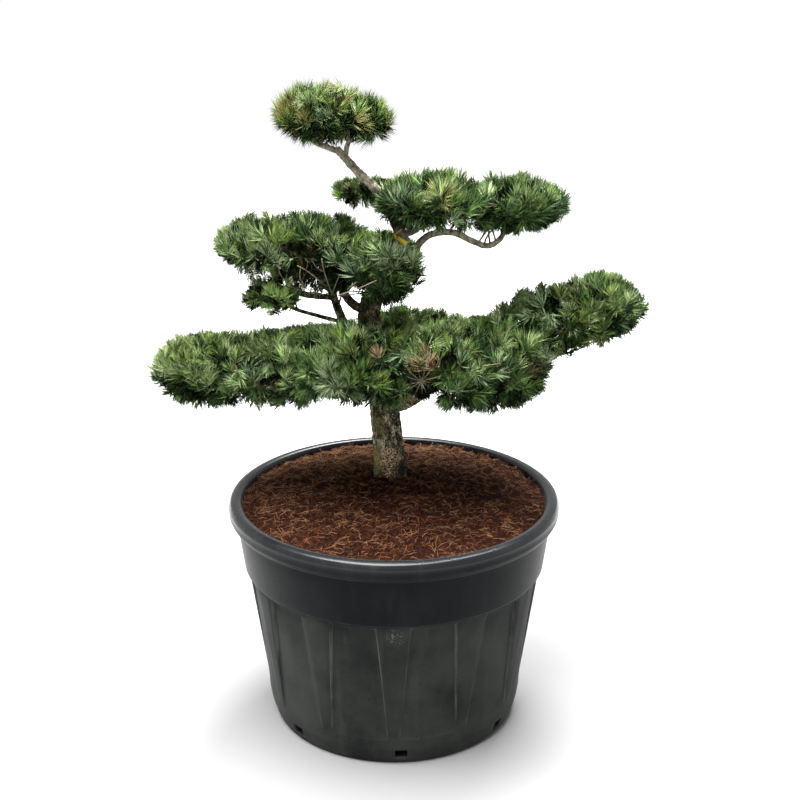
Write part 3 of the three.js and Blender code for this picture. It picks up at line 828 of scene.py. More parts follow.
ACCENTS = (
    ((-0.215, 0.010, 1.205), 0.045, Hue.GOLD),
    ((-0.190, -0.010, 1.180), 0.030, Hue.OLIVE),
    ((-0.160, 0.000, 1.255), 0.045, Hue.FRESH),
    ((-0.105, -0.030, 1.195), 0.034, Hue.SILVER),
    ((-0.088, 0.040, 1.262), 0.030, Hue.GOLD),
    ((-0.050, 0.020, 1.225), 0.036, Hue.OLIVE),
    ((-0.004, 0.050, 1.205), 0.034, Hue.OLIVE),
    ((0.075, -0.070, 1.087), 0.030, Hue.GOLD),
    ((0.027, 0.000, 1.105), 0.040, Hue.OLIVE),
    ((-0.022, -0.080, 1.074), 0.045, Hue.BLUE),
    ((-0.221, -0.040, 1.007), 0.048, Hue.OLIVE),
    ((-0.242, -0.070, 0.956), 0.045, Hue.SILVER),
    ((-0.093, -0.120, 0.962), 0.045, Hue.BLUE),
    ((0.025, -0.120, 0.968), 0.045, Hue.SILVER),
    ((0.005, -0.100, 0.912), 0.026, Hue.SILVER),
    ((0.002, -0.204, 0.826), 0.034, Hue.RUST),
    ((0.070, -0.210, 0.820), 0.022, Hue.RUST),
    ((0.094, -0.160, 0.856), 0.021, Hue.RUST),
    ((0.132, -0.100, 0.853), 0.026, Hue.BROWN),
    ((-0.108, -0.215, 0.768), 0.040, Hue.SILVER),
    ((0.169, -0.130, 0.766), 0.050, Hue.SILVER),
    ((0.255, -0.100, 0.741), 0.040, Hue.BROWN),
    ((-0.381, -0.080, 0.789), 0.060, Hue.LIME),
    ((0.440, 0.000, 0.890), 0.026, Hue.OLIVE),
    ((0.268, -0.020, 0.866), 0.040, Hue.BLUE),
    ((0.394, -0.020, 0.789), 0.045, Hue.OLIVE),
)

BARE_TWIGS = (
    ((-0.118, 0.050, 0.865), (-0.116, -0.050, 0.893), (-0.127, -0.078, 0.938), (-0.131, -0.086, 0.966)),
    ((-0.118, 0.050, 0.868), (-0.135, -0.050, 0.912), (-0.161, -0.084, 0.944), (-0.176, -0.084, 0.952)),
    ((-0.140, 0.020, 0.872), (-0.185, -0.040, 0.897), (-0.211, -0.070, 0.936), (-0.207, -0.080, 0.962)),
    ((-0.118, 0.050, 0.866), (-0.150, -0.045, 0.889), (-0.172, -0.078, 0.925), (-0.170, -0.088, 0.947)),
    ((-0.117, -0.020, 0.880), (-0.108, -0.084, 0.912), (-0.098, -0.104, 0.940)),
    ((-0.060, 0.010, 0.875), (-0.102, -0.074, 0.893), (-0.066, -0.116, 0.916), (-0.030, -0.128, 0.936)),
    ((-0.060, 0.010, 0.878), (-0.085, -0.080, 0.905), (-0.067, -0.120, 0.930)),
    ((-0.127, -0.078, 0.938), (-0.141, -0.088, 0.950), (-0.150, -0.086, 0.965)),
    ((-0.161, -0.084, 0.944), (-0.156, -0.090, 0.957), (-0.160, -0.092, 0.968)),
    ((-0.108, 0.058, 1.141), (-0.130, 0.045, 1.159), (-0.149, 0.030, 1.178)),
    ((-0.112, 0.058, 1.146), (-0.122, 0.040, 1.167), (-0.125, 0.020, 1.187)),
    ((-0.107, 0.058, 1.142), (-0.108, 0.050, 1.166), (-0.110, 0.030, 1.189)),
    ((-0.090, 0.060, 1.140), (-0.078, 0.050, 1.158), (-0.055, 0.030, 1.174)),
    ((0.064, -0.073, 0.714), (0.058, -0.150, 0.748), (0.050, -0.208, 0.771)),
)

PADS = (
    PadPlan("top_left_pad", (-0.137, 0.060, 1.199), (0.098, 0.098, 0.075, 0.062),
            (-0.013, 0.002, -0.045), TANNED),
    PadPlan("top_right_pad", (-0.066, 0.068, 1.190), (0.077, 0.085, 0.059, 0.052),
            (-0.009, -0.004, -0.020), TAWNY),
    PadPlan("upper_back_pad", (-0.052, 0.150, 1.045), (0.079, 0.076, 0.036, 0.046),
            (0.012, -0.020, -0.012), LIT_GOLDEN),
    PadPlan("upper_middle_pad", (0.070, 0.016, 1.041), (0.118, 0.120, 0.080, 0.060),
            (-0.012, 0.008, -0.031), SOBER),
    PadPlan("upper_right_pad", (0.224, 0.056, 1.036), (0.119, 0.116, 0.068, 0.067),
            (-0.012, -0.008, -0.046), SOBER, -0.92),
    PadPlan("middle_left_pad", (-0.245, 0.030, 0.966), (0.108, 0.108, 0.065, 0.066),
            (0.034, 0.004, -0.034), SUNLIT, -0.85),
    PadPlan("middle_inner_pad", (-0.137, 0.040, 0.953), (0.112, 0.114, 0.079, 0.100),
            (0.005, 0.008, -0.039), SOBER, -0.96),
    PadPlan("middle_right_pad", (-0.022, -0.054, 0.944), (0.090, 0.084, 0.078, 0.092),
            (0.000, 0.034, -0.038), SOBER, -0.92),
    PadPlan("middle_back_pad", (-0.035, 0.165, 0.922), (0.098, 0.086, 0.046, 0.046),
            (-0.020, -0.010, -0.026), COOL),
    PadPlan("middle_tuft", (-0.231, 0.002, 0.867), (0.065, 0.054, 0.052, 0.043),
            (0.028, 0.014, -0.013), LIT_TUFT),
    PadPlan("low_left_pad", (-0.351, 0.000, 0.732), (0.125, 0.124, 0.077, 0.092),
            (0.056, 0.008, -0.036), MEADOW, -0.90),
    PadPlan("low_inner_left_pad", (-0.217, -0.022, 0.736), (0.108, 0.122, 0.084, 0.084),
            (0.020, -0.004, -0.038), BRIGHT, -0.90),
    PadPlan("low_front_left_pad", (-0.085, -0.095, 0.762), (0.122, 0.132, 0.087, 0.082),
            (0.004, 0.026, -0.042), MOTTLED),
    PadPlan("low_front_right_pad", (0.078, -0.105, 0.760), (0.120, 0.130, 0.088, 0.096),
            (-0.014, 0.032, -0.046), MOTTLED),
    PadPlan("low_right_pad", (0.202, -0.015, 0.752), (0.111, 0.132, 0.082, 0.112),
            (-0.016, 0.010, -0.048), FRESH, -0.95),
    PadPlan("arm_inner_pad", (0.304, 0.052, 0.806), (0.108, 0.100, 0.081, 0.072),
            (-0.006, -0.004, -0.040), FRESH, -0.96),
    PadPlan("arm_outer_pad", (0.402, 0.060, 0.835), (0.101, 0.108, 0.078, 0.078),
            (-0.027, -0.008, -0.042), FRESH, -0.90),
    PadPlan("low_back_left_pad", (-0.156, 0.178, 0.714), (0.122, 0.108, 0.058, 0.048),
            (0.030, -0.024, -0.018), MEADOW),
    PadPlan("low_back_pad", (0.022, 0.205, 0.740), (0.124, 0.104, 0.063, 0.054),
            (-0.004, -0.036, -0.024), LIT_GREEN),
    PadPlan("low_back_right_pad", (0.174, 0.165, 0.740), (0.116, 0.100, 0.052, 0.054),
            (-0.038, -0.020, -0.024), LIT_GREEN),
)

BOUGHS = (
    BoughPlan("left_stem", "trunk", 0.762, "middle_inner_pad", (0.010, 0.007),
              ((-0.088, 0.056, 0.790), (-0.101, 0.050, 0.813), (-0.118, 0.050, 0.861))),
    BoughPlan("top_right_bough", "trunk", 1.124, "top_right_pad", (0.005, 0.004), ((-0.087, 0.061, 1.149),)),
    BoughPlan("upper_back_bough", "trunk", 1.038, "upper_back_pad", (0.006, 0.0045),
              ((-0.030, 0.092, 1.034),)),
    BoughPlan("upper_middle_bough", "trunk", 0.978, "upper_middle_pad", (0.0075, 0.006),
              ((0.040, 0.044, 0.990),)),
    BoughPlan("upper_right_bough", "trunk", 0.922, "upper_right_pad", (0.0075, 0.005),
              ((0.036, 0.050, 0.950), (0.068, 0.042, 0.981), (0.112, 0.034, 0.988), (0.150, 0.036, 0.971),
               (0.180, 0.042, 0.960), (0.203, 0.047, 0.972))),
    BoughPlan("middle_left_bough", "left_stem", 0.855, "middle_left_pad", (0.0055, 0.0045),
              ((-0.183, 0.036, 0.869), (-0.206, 0.033, 0.896))),
    BoughPlan("tuft_bough", "left_stem", 0.805, "middle_tuft", (0.0045, 0.0036),
              ((-0.149, 0.042, 0.822), (-0.189, 0.030, 0.838))),
    BoughPlan("middle_right_bough", "trunk", 0.868, "middle_right_pad", (0.009, 0.007)),
    BoughPlan("middle_back_bough", "trunk", 0.824, "middle_back_pad", (0.010, 0.006),
              ((-0.078, 0.062, 0.838), (-0.097, 0.084, 0.860))),
    BoughPlan("low_left_bough", "trunk", 0.700, "low_left_pad", (0.014, 0.007),
              ((-0.130, 0.042, 0.694), (-0.230, 0.030, 0.690))),
    BoughPlan("low_inner_left_bough", "trunk", 0.668, "low_inner_left_pad", (0.011, 0.007),
              ((-0.110, 0.008, 0.672),)),
    BoughPlan("low_front_left_bough", "trunk", 0.642, "low_front_left_pad", (0.013, 0.009),
              ((-0.048, -0.004, 0.676),)),
    BoughPlan("low_front_right_bough", "trunk", 0.638, "low_front_right_pad", (0.020, 0.014),
              ((0.018, -0.006, 0.662),)),
    BoughPlan("low_right_bough", "trunk", 0.684, "low_right_pad", (0.013, 0.008), ((0.080, 0.036, 0.690),)),
    BoughPlan("arm_inner_bough", "trunk", 0.742, "arm_inner_pad", (0.011, 0.006),
              ((0.080, 0.072, 0.752), (0.190, 0.066, 0.748))),
    BoughPlan("arm_outer_bough", "trunk", 0.716, "arm_outer_pad", (0.012, 0.007),
              ((0.100, 0.084, 0.708), (0.220, 0.066, 0.700), (0.300, 0.052, 0.732), (0.342, 0.050, 0.759))),
    BoughPlan("low_back_left_bough", "trunk", 0.680, "low_back_left_pad", (0.012, 0.007),
              ((-0.090, 0.118, 0.680),)),
    BoughPlan("low_back_bough", "trunk", 0.690, "low_back_pad", (0.012, 0.007), ((-0.006, 0.124, 0.698),)),
    BoughPlan("low_back_right_bough", "trunk", 0.730, "low_back_right_pad", (0.011, 0.007),
              ((0.064, 0.112, 0.722),)),
)

TWIG_FINISH = PlainFinish("twig_bark", (0.110, 0.104, 0.058), (0.030, 0.027, 0.015), 0.85, 0.06, 120.0)
BARE_TWIG_FINISH = PlainFinish("bare_twig", (0.150, 0.128, 0.090), (0.046, 0.038, 0.026), 0.85, 0.05, 160.0)
TIE_FINISH = PlainFinish("tie_yellow", (0.80, 0.66, 0.015), (0.62, 0.48, 0.010), 0.45, 0.3)
COIR_FINISHES = (
    PlainFinish("coir_black", (0.0026, 0.0012, 0.0008), (0.0014, 0.0007, 0.0005)),
    PlainFinish("coir_umber", (0.012, 0.0036, 0.0017), (0.006, 0.0018, 0.0009)),
    PlainFinish("coir_rust", (0.045, 0.0120, 0.0042), (0.020, 0.0056, 0.0022)),
    PlainFinish("coir_amber", (0.125, 0.045, 0.0150), (0.060, 0.020, 0.0070)),
    PlainFinish("coir_straw", (0.230, 0.130, 0.065), (0.130, 0.066, 0.030)),
)

SQUARE = ((-0.5, -0.5), (0.5, -0.5), (0.5, 0.5), (-0.5, 0.5))
BOX = np.array([[3, 2, 1, 0], [4, 5, 6, 7], [0, 1, 5, 4], [1, 2, 6, 5], [2, 3, 7, 6], [3, 0, 4, 7]])
SPINDLE = np.array([[0, 2, 1], [1, 2, 3], [0, 3, 2], [0, 1, 3]])


class Limb:
    """A tapering limb along a smooth curve, as the frame's own limbs run."""

    def __init__(self, name: str, stations: list[tuple[float, float, float, float]]) -> None:
        """Takes the limb's places and radii from its root to its tip."""
        self.name = name
        table = np.array(stations, float)
        self.places = table[:, :3]
        self.radii = table[:, 3]
        spans = np.linalg.norm(np.diff(self.points(np.linspace(0, 1, 201)), axis=0), axis=1)
        self.length = float(spans.sum())

    def points(self, shares: Array) -> Array:
        """Gives the middle line, a centripetal Catmull-Rom curve.

        Args:
            shares: Places along the limb from 0 to 1.

        Returns:
            One point in each row.
        """
        known = self.places
        padded = np.vstack([2 * known[0] - known[1], known, 2 * known[-1] - known[-2]])
        spot = np.clip(np.asarray(shares, float), 0, 1) * (len(known) - 1)
        whole = np.minimum(spot.astype(int), len(known) - 2)
        part = (spot - whole)[:, None]
        p0, p1, p2, p3 = (padded[whole + step] for step in range(4))
        steps = ((p0, p1), (p1, p2), (p2, p3))
        d0, d1, d2 = (np.sqrt(np.linalg.norm(end - start, axis=1))[:, None] for start, end in steps)
        m1 = ((p1 - p0) / d0 - (p2 - p0) / (d0 + d1) + (p2 - p1) / d1) * d1
        m2 = ((p2 - p1) / d1 - (p3 - p1) / (d1 + d2) + (p3 - p2) / d2) * d1
        cubic = 2 * p1 - 2 * p2 + m1 + m2
        square = -3 * p1 + 3 * p2 - 2 * m1 - m2
        return p1 + part * (m1 + part * (square + part * cubic))

    def radius(self, shares: Array) -> Array:
        """Gives the limb's radius at places along it."""
        spot = np.clip(np.asarray(shares, float), 0, 1) * (len(self.radii) - 1)
        return np.interp(spot, np.arange(len(self.radii)), self.radii)

    def share_at(self, height: float) -> float:
        """Finds where along the limb its middle reaches a height."""
        shares = np.linspace(0, 1, 2001)
        return float(shares[np.argmax(self.points(shares)[:, 2] >= height)])

    def samples(self, step: float) -> tuple[Array, Array]:
        """Gives points and radii along the limb, a step apart."""
        shares = np.linspace(0, 1, max(4, int(self.length / step)))
        return self.points(shares), self.radius(shares)


class Space:
    """The egg-shaped space of a mass, melted into those of its cloud and walled off from other clouds."""

    WALL_GAP = 0.0006
    NEIGHBOUR_DISTANCE = 0.330
    MELT = 4.5
    CLOUD_OF = {"arm": "low"}

    def __init__(self, plan: PadPlan) -> None:
        """Takes the mass's plan."""
        self.plan = plan
        self.centre = np.array(plan.middle)
        self.fork = self.centre + np.array(plan.fork)
        self.walls: list[tuple[Array, float]] = []
        self.cloud: list[Space] = [self]
        first = plan.name.split("_")[0]
        self.cloud_name = self.CLOUD_OF.get(first, first)

    def axes(self, upward: Array) -> Array:
        """Gives the egg's three reaches for directions whose rise is given."""
        along, across, up, down = self.plan.reach
        flat = np.tile((along, across), (len(upward), 1))
        return np.column_stack([flat, np.where(upward > 0, up, down)])

    def along(self, direction: Array) -> float:
        """Gives how far the egg reaches from its middle along a direction."""
        return float(1 / np.linalg.norm(direction / self.axes(direction[2:3])[0]))

    def meet(self, other: Space) -> None:
        """Joins a mass of the same cloud, or sets a wall shared by how far each reaches."""
        offset = other.centre - self.centre
        distance = float(np.linalg.norm(offset))
        if other is self or distance > self.NEIGHBOUR_DISTANCE:
            return
        if other.cloud_name == self.cloud_name:
            self.cloud.append(other)
            return
        normal = offset / distance
        own, theirs = self.along(normal), other.along(-normal)
        limit = float(self.centre @ normal) + distance * own / (own + theirs) - self.WALL_GAP
        self.walls.append((normal, limit))

    def within(self, points: Array, margin: float) -> Array:
        """Says which points are on this side of every wall, by a margin."""
        inside = np.ones(len(points), bool)
        for normal, limit in self.walls:
            inside &= points @ normal <= limit - margin
        return inside

    def fill(self, points: Array) -> Array:
        """Gives how far out points lie in the egg, 1 on its surface."""
        offset = points - self.centre
        return np.linalg.norm(offset / self.axes(offset[:, 2]), axis=1)

    def melted(self, points: Array) -> Array:
        """Gives how far out points lie in the whole cloud, 1 on its surface, with rounded valleys."""
        fills = np.stack([space.fill(points) for space in self.cloud])
        least = fills.min(axis=0)
        return least - np.log(np.exp(self.MELT * (least - fills)).sum(axis=0)) / self.MELT

    def owns(self, points: Array, slack: Array) -> Array:
        """Says which points lie deeper in this mass than in the rest of its cloud."""
        fills = np.stack([space.fill(points) for space in self.cloud])
        return fills[0] <= fills.min(axis=0) + slack

    def outward(self, points: Array, step: float = 0.001) -> Array:
        """Gives the cloud's outward directions at points."""
        slopes = [self.melted(points + shift) - self.melted(points - shift) for shift in np.eye(3) * step]
        return unit(np.stack(slopes, 1))

    def shell(self, directions: Array, level: Array) -> Array:
        """Finds the points on a shell of the cloud, seen from the mass's middle.

        Args:
            directions: Unit vectors, one in each row.
            level: How far out in the cloud each point lies, 1 on its surface.

        Returns:
            One point for each direction.
        """
        rays = directions * self.axes(directions[:, 2])
        near, far = np.zeros(len(rays)), np.full(len(rays), 2.0)
        for _ in range(20):
            middle = (near + far) / 2
            is_outside = self.melted(self.centre + rays * middle[:, None]) > level
            far = np.where(is_outside, middle, far)
            near = np.where(is_outside, near, middle)
        return self.centre + rays * near[:, None]

    def surface(self, power: float = 1.6) -> float:
        """Works out the egg's surface by the usual power mean of its sections."""
        along, across, up, down = self.plan.reach
        half = (up + down) / 2
        sections = np.array([along * across, along * half, across * half]) ** power
        return float(4 * math.pi * sections.mean() ** (1 / power))


def tubes(lines: Array, radii: Array, sides: int) -> tuple[Array, Array]:
    """Makes many thin tubes at once.

    Args:
        lines: Points of each tube's middle, as tube by point by XYZ.
        radii: Radii, as tube by point.
        sides: How many sides a tube has.

    Returns:
        The vertices and the triangles between them.
    """
    count, rings, _ = lines.shape
    axes = unit(lines[:, -1] - lines[:, 0])
    first, second = across_to(axes)
    around = swing(first[:, None, None], second[:, None, None], turns(sides))
    walls = lines[:, :, None] + around * radii[:, :, None, None]
    corners = np.concatenate([walls.reshape(count, -1, 3), lines[:, :1], lines[:, -1:]], 1)
    quads = ring_faces(rings, sides)
    side = np.arange(sides)
    beside = (side + 1) % sides
    foot = np.stack([beside, side, np.full(sides, rings * sides)], 1)
    last = (rings - 1) * sides
    tip = np.stack([last + side, last + beside, np.full(sides, rings * sides + 1)], 1)
    one = np.concatenate([quads[:, [0, 1, 2]], quads[:, [0, 2, 3]], foot, tip])
    faces = one[None] + (np.arange(count) * (rings * sides + 2))[:, None, None]
    return corners.reshape(-1, 3), faces.reshape(-1, 3)


@dataclass(frozen=True)
class Layer:
    """One shell of sprays in a mass.

    Its egg is a share of the mass's, a spray takes an area of it, it covers the heights from highest down to
    the mass's lowest times hang, and the shells behind the outer one have dark colours of their own as
    painted shade.
    Sprays of a flat shell spread sideways, and no needle reaches out past the limit.
    """

    reach: float
    area: float
    hang: float
    fullness: float
    hues: Palette | None = None
    highest: float = 1.0
    is_flat: bool = False
    width: float = 1.0
    limit: float = 1.08


# The inner shells take palettes of the darkest hues as painted shade.
LAYERS = (
    Layer(1.07, 0.00027, 1.0, 1.00),
    Layer(0.97, 0.00060, 1.10, 0.60, INNER_SHADE, -0.20, True, 1.6, 1.05),
    Layer(0.88, 0.00050, 1.0, 0.66, INNER_SHADE, width=3.0, limit=0.98),
    Layer(0.62, 0.00075, 0.9, 0.74, CORE_SHADE, width=5.5, limit=0.90),
)


@dataclass
class Brushes:
    """Sprays of needles: where each starts and points, its length, fullness and coarseness, and its limit."""

    feet: Array
    axes: Array
    lengths: Array
    hues: Array
    fullness: Array
    widths: Array
    limits: Array


@dataclass
class Foliage:
    """One mass of foliage: twigs that part from its fork and sprays of needles all round."""

    space: Space
    limbs: list[Limb]
    bough: Limb
    seed: int
    bark: Material
    needles: list[Material]
    spray_length: Span = (0.034, 0.046)
    spray_out: float = 0.54
    spray_lift: float = 0.95
    spray_stray: float = 0.48
    flat_rise: float = 0.3
    side_share: float = 0.44
    mingle: float = 0.02
    full_depth: float = 0.112
    ragged: float = 0.012
    lowest_height: float = -0.99
    angle_stray: float = 0.5
    wall_slack: float = 0.020
    wall_lap: float = 0.024
    wall_softness: float = 0.04
    wall_turn: float = 0.75
    limb_margin: float = 0.004
    limb_step: float = 0.006
    main_twigs: int = 3
    main_reach: float = 0.42
    main_stray: float = 0.6
    branchlets: int = 7
    branchlet_reach: float = 0.66
    branchlet_lap: float = 1.2
    branchlet_rises: tuple[float, ...] = (0.35, -0.20, 0.55, 0.05)
    fan: int = 6
    fan_reach: float = 0.58
    fan_stray: float = 0.7
    fan_starts: Span = (0.62, 0.98)
    fan_rises: Span = (-0.50, -0.05)
    twig_radii: tuple[float, float, float] = (0.0036, 0.0024, 0.0013)
    twig_bends: tuple[float, float, float] = (0.10, 0.12, 0.14)
    twig_points: int = 6
    twig_sides: int = 5
    tip_radius: float = 0.0009
    shoot_sides: int = 3
    shoot_detour: float = 0.5
    shoot_elbow: float = 0.35
    shoot_share: float = 0.34
    bunches: int = 27
    bunch_spread: float = 0.13
    bunch_phase: float = 1.7
    leans: Span = (1.02, 0.10)
    lean_stray: float = 0.10
    turn_stray: float = 0.25
    needles_each: int = 2
    needle_share: Span = (0.56, 0.80)
    needle_width: float = 0.00080
    belly_share: float = 0.48
    curl: float = 0.10
    light_share: float = 0.38
    dark_share: float = 0.33
    tuft_every: int = 7
    tuft_radius: float = 0.026
    tuft_spread: float = 0.60
    tuft_sink: float = 0.010
    tuft_sink_most: float = 1.5
    tuft_hue_share: float = 0.60
    # Painted light and shade: sprays that face up take lighter hues, those underneath and in the hollows
    # darker ones.
    topside: float = 0.30
    sunlit_share: float = 0.44
    sunlit_hues: tuple[Hue, ...] = (Hue.LIME, Hue.GLOW, Hue.FRESH, Hue.OLIVE)
    accent_share: float = 0.80
    underside: float = -0.25
    shaded_share: float = 0.6
    shaded_hues: tuple[Hue, ...] = (Hue.SHADE, Hue.DEEP, Hue.LEAF)
    hollow_share: float = 1.0
    hollow_depth: float = 0.024
    hollow_hues: tuple[Hue, ...] = (Hue.BLACK, Hue.DEEP, Hue.BLACK, Hue.BROWN)
    random: np.random.Generator = field(init=False)

    def __post_init__(self) -> None:
        """Starts the mass's own random numbers."""
        self.random = np.random.default_rng(self.seed)

    def clear_of_limbs(self, points: Array) -> Array:
        """Says which points lie clear of the trunk, every bough and the gaps."""
        clear = np.ones(len(points), bool)
        for gap in GAPS:
            clear &= ~lies_near(points, *gap)
        for limb in self.limbs:
            centres, radii = limb.samples(self.limb_step)
            away = np.linalg.norm(points[:, None] - centres[None], axis=2)
            clear &= np.all(away > radii[None] + self.limb_margin, axis=1)
        return clear

    def settle(self, edges: Array, axes: Array) -> tuple[Array, Array, Array]:
        """Draws sprays that end just past a wall back to it and turns them along it.

        Args:
            edges: Where the sprays end.
            axes: Where they point.

        Returns:
            The new ends, the new directions, and which sprays stay.
        """
        keep = np.ones(len(edges), bool)
        for normal, limit in self.space.walls:
            over = edges @ normal - limit
            keep &= over < self.wall_slack
            edges = edges - normal * np.maximum(over, 0)[:, None]
            into = np.maximum(axes @ normal, 0) * smooth(1 + over / self.wall_softness)
            axes = unit(axes - normal * (self.wall_turn * into)[:, None])
        return edges, axes, keep

    def gather(self, plan: Layer, edges: Array, outward: Array) -> tuple[Array, Array, Array]:
        """Points sprays outward and up, and draws those of an outer shell together in tufts.

        Args:
            plan: The shell of sprays.
            edges: Where the sprays end.
            outward: Which way is out at each.

        Returns:
            The new ends, where the sprays point, and each one's tuft by the number of its middle spray.
        """
        tuft = np.arange(len(edges))
        if plan.is_flat:
            return edges, outward * (1.0, 1.0, self.flat_rise), tuft
        pointing = outward * self.spray_out
        pointing[:, 2] += self.spray_lift * (1 + np.minimum(0, outward[:, 2]))
        if plan.hues is None:
            middles = edges[None, :: self.tuft_every]
            tuft = self.tuft_every * np.argmin(np.linalg.norm(edges[:, None] - middles, axis=2), axis=1)
            aside = (edges - edges[tuft]) / self.tuft_radius
            pointing = pointing + aside * self.tuft_spread
            sink = self.tuft_sink * np.minimum(self.tuft_sink_most, (aside**2).sum(axis=1))
            edges = edges - outward * sink[:, None]
        return edges, pointing, tuft

    def pick_hues(self, palette: Palette, tuft: Array) -> Array:
        """Draws the number of each spray's hue from a palette, most often the same one throughout a tuft."""
        weights = np.array([weight for _, weight in palette], float)
        drawn = self.random.choice(len(palette), len(tuft), p=weights / weights.sum())
        drawn = np.where(self.random.random(len(tuft)) < self.tuft_hue_share, drawn[tuft], drawn)
        return hue_numbers(hue for hue, _ in palette)[drawn]

    def light(self, numbers: Array, edges: Array, outward: Array, heights: Array, hollow: Array) -> None:
        """Changes the hues of sprays that face up into the sun, in an accent, underneath or in a hollow:
        lighter hues on top and darker ones below and in the hollows are painted light and shade.

        Args:
            numbers: The numbers of the hues, changed in place.
            edges: Where the sprays end.
            outward: Which way is out at each.
            heights: How high on the egg each lies, from -1 to 1.
            hollow: Which sprays lie in a hollow.
        """
        count = len(numbers)
        order = np.arange(count)
        sunlit = (outward[:, 2] > self.topside) & (self.random.random(count) < self.sunlit_share)
        picks = [(sunlit, self.sunlit_hues)]
        for place, reach, hue in ACCENTS:
            held = lies_near(edges, place, reach) & (self.random.random(count) < self.accent_share)
            picks.append((held, (hue,)))
        shaded = (heights < self.underside) & (self.random.random(count) < self.shaded_share)
        picks += [(shaded, self.shaded_hues), (hollow, self.hollow_hues)]
        for held, hues in picks:
            numbers[held] = hue_numbers(hues)[order[held] % len(hues)]

    def layer(self, plan: Layer) -> Brushes:
        """Sets sprays all round on one egg by the golden angle.

        Args:
            plan: The shell of sprays.

        Returns:
            The sprays that fit.
        """
        draw, space = self.random, self.space
        lowest = max(self.lowest_height, space.plan.lowest * plan.hang)
        count = round(space.surface() * plan.reach**2 * (plan.highest - lowest) / 2 / plan.area)
        order = np.arange(count)
        heights = plan.highest + (lowest - plan.highest) * (order + 0.5) / count
        angles = order * GOLDEN_ANGLE + draw.random(count) * self.angle_stray
        directions = round_axis(np.sqrt(np.maximum(0, 1 - heights**2)), angles, heights)
        inset = plan.reach - draw.random(count) * self.ragged / space.axes(heights).mean(axis=1)
        edges = space.shell(directions, inset)
        owned = space.owns(edges, draw.normal(0, self.mingle, count))
        outward = space.outward(edges)
        edges, pointing, tuft = self.gather(plan, edges, outward)
        pointing = unit(unit(pointing) + draw.normal(0, self.spray_stray, (count, 3)))
        hollow = np.any([lies_near(edges, *spot) for spot in HOLLOWS], axis=0)
        edges = edges - outward * (hollow * self.hollow_depth)[:, None]
        edges, pointing, keep = self.settle(edges, pointing)
        shortened = min(1.0, sum(space.plan.reach[2:]) / self.full_depth)
        lengths = mix(*self.spray_length, draw.random(count)) * shortened
        depth = mix(self.side_share, 1.0, np.maximum(0, (pointing * outward).sum(axis=1)))
        feet = edges - outward * (lengths * depth)[:, None]
        keep &= owned & self.clear_of_limbs(feet + pointing * lengths[:, None]) & self.clear_of_limbs(feet)
        numbers = self.pick_hues(plan.hues or space.plan.hues, tuft)
        if plan.hues is None:
            self.light(numbers, edges, outward, heights, hollow)
            keep &= ~hollow | (draw.random(count) < self.hollow_share)
        evens = [np.full(count, value) for value in (plan.fullness, plan.width, plan.limit)]
        return Brushes(*(values[keep] for values in (feet, pointing, lengths, numbers, *evens)))

    def brushes(self) -> Brushes:
        """Sets the outer sprays and the ones behind them, whose darker hues are painted shade."""
        shells = [self.layer(plan) for plan in LAYERS]
        names = [part.name for part in fields(Brushes)]
        return Brushes(*(np.concatenate([getattr(shell, name) for shell in shells]) for name in names))

    def grow_needles(self, sprays: Brushes) -> Piece:
        """Grows bunches of needles along every spray's shoot.

        Args:
            sprays: The mass's sprays.

        Returns:
            One piece with all the needles.
        """
        draw = self.random
        count = len(sprays.feet)
        bunch = np.tile(np.arange(self.bunches), count)
        spray = np.repeat(np.arange(count), self.bunches)
        kept = draw.random(len(spray)) < sprays.fullness[spray]
        bunch, spray = bunch[kept], spray[kept]
        climb = (bunch + draw.random(len(bunch))) / self.bunches
        lean = mix(*self.leans, climb) + draw.normal(0, self.lean_stray, len(bunch))
        turn = bunch * GOLDEN_ANGLE + spray * self.bunch_phase + draw.normal(0, self.turn_stray, len(bunch))
        axes, span = sprays.axes[spray], sprays.lengths[spray]
        aim = swing(axes, swing(*across_to(axes), turn), lean)
        roots = sprays.feet[spray] + axes * (climb * self.shoot_share * span)[:, None]
        companions = np.array([hue_numbers(COMPANIONS[own]) for own in Hue])
        chance, hues = draw.random(len(spray)), sprays.hues[spray]
        hues = np.where(chance < self.light_share, companions[hues, 0], hues)
        hues = np.where(chance > 1 - self.dark_share, companions[hues, 1], hues)
        bunches = (aim, roots, axes, hues, span, sprays.limits[spray], sprays.widths[spray])
        pairs = [np.repeat(part, self.needles_each, 0) for part in bunches]
        aim, roots, axes, hues, span, limits, widths = pairs
        aim = unit(aim + draw.normal(0, self.bunch_spread, aim.shape))
        lengths = mix(*self.needle_share, draw.random(len(aim))) * span
        tips = roots + aim * lengths[:, None] + axes * (lengths * self.curl)[:, None]
        fits = (self.space.melted(tips) < limits) & self.space.within(tips, -self.wall_lap)
        for gap in GAPS:
            fits &= ~lies_near((roots + 2 * tips) / 3, *gap)
        parts = (roots, aim, lengths, tips, hues, widths * self.needle_width)
        return self.needle_piece(*(part[fits] for part in parts))

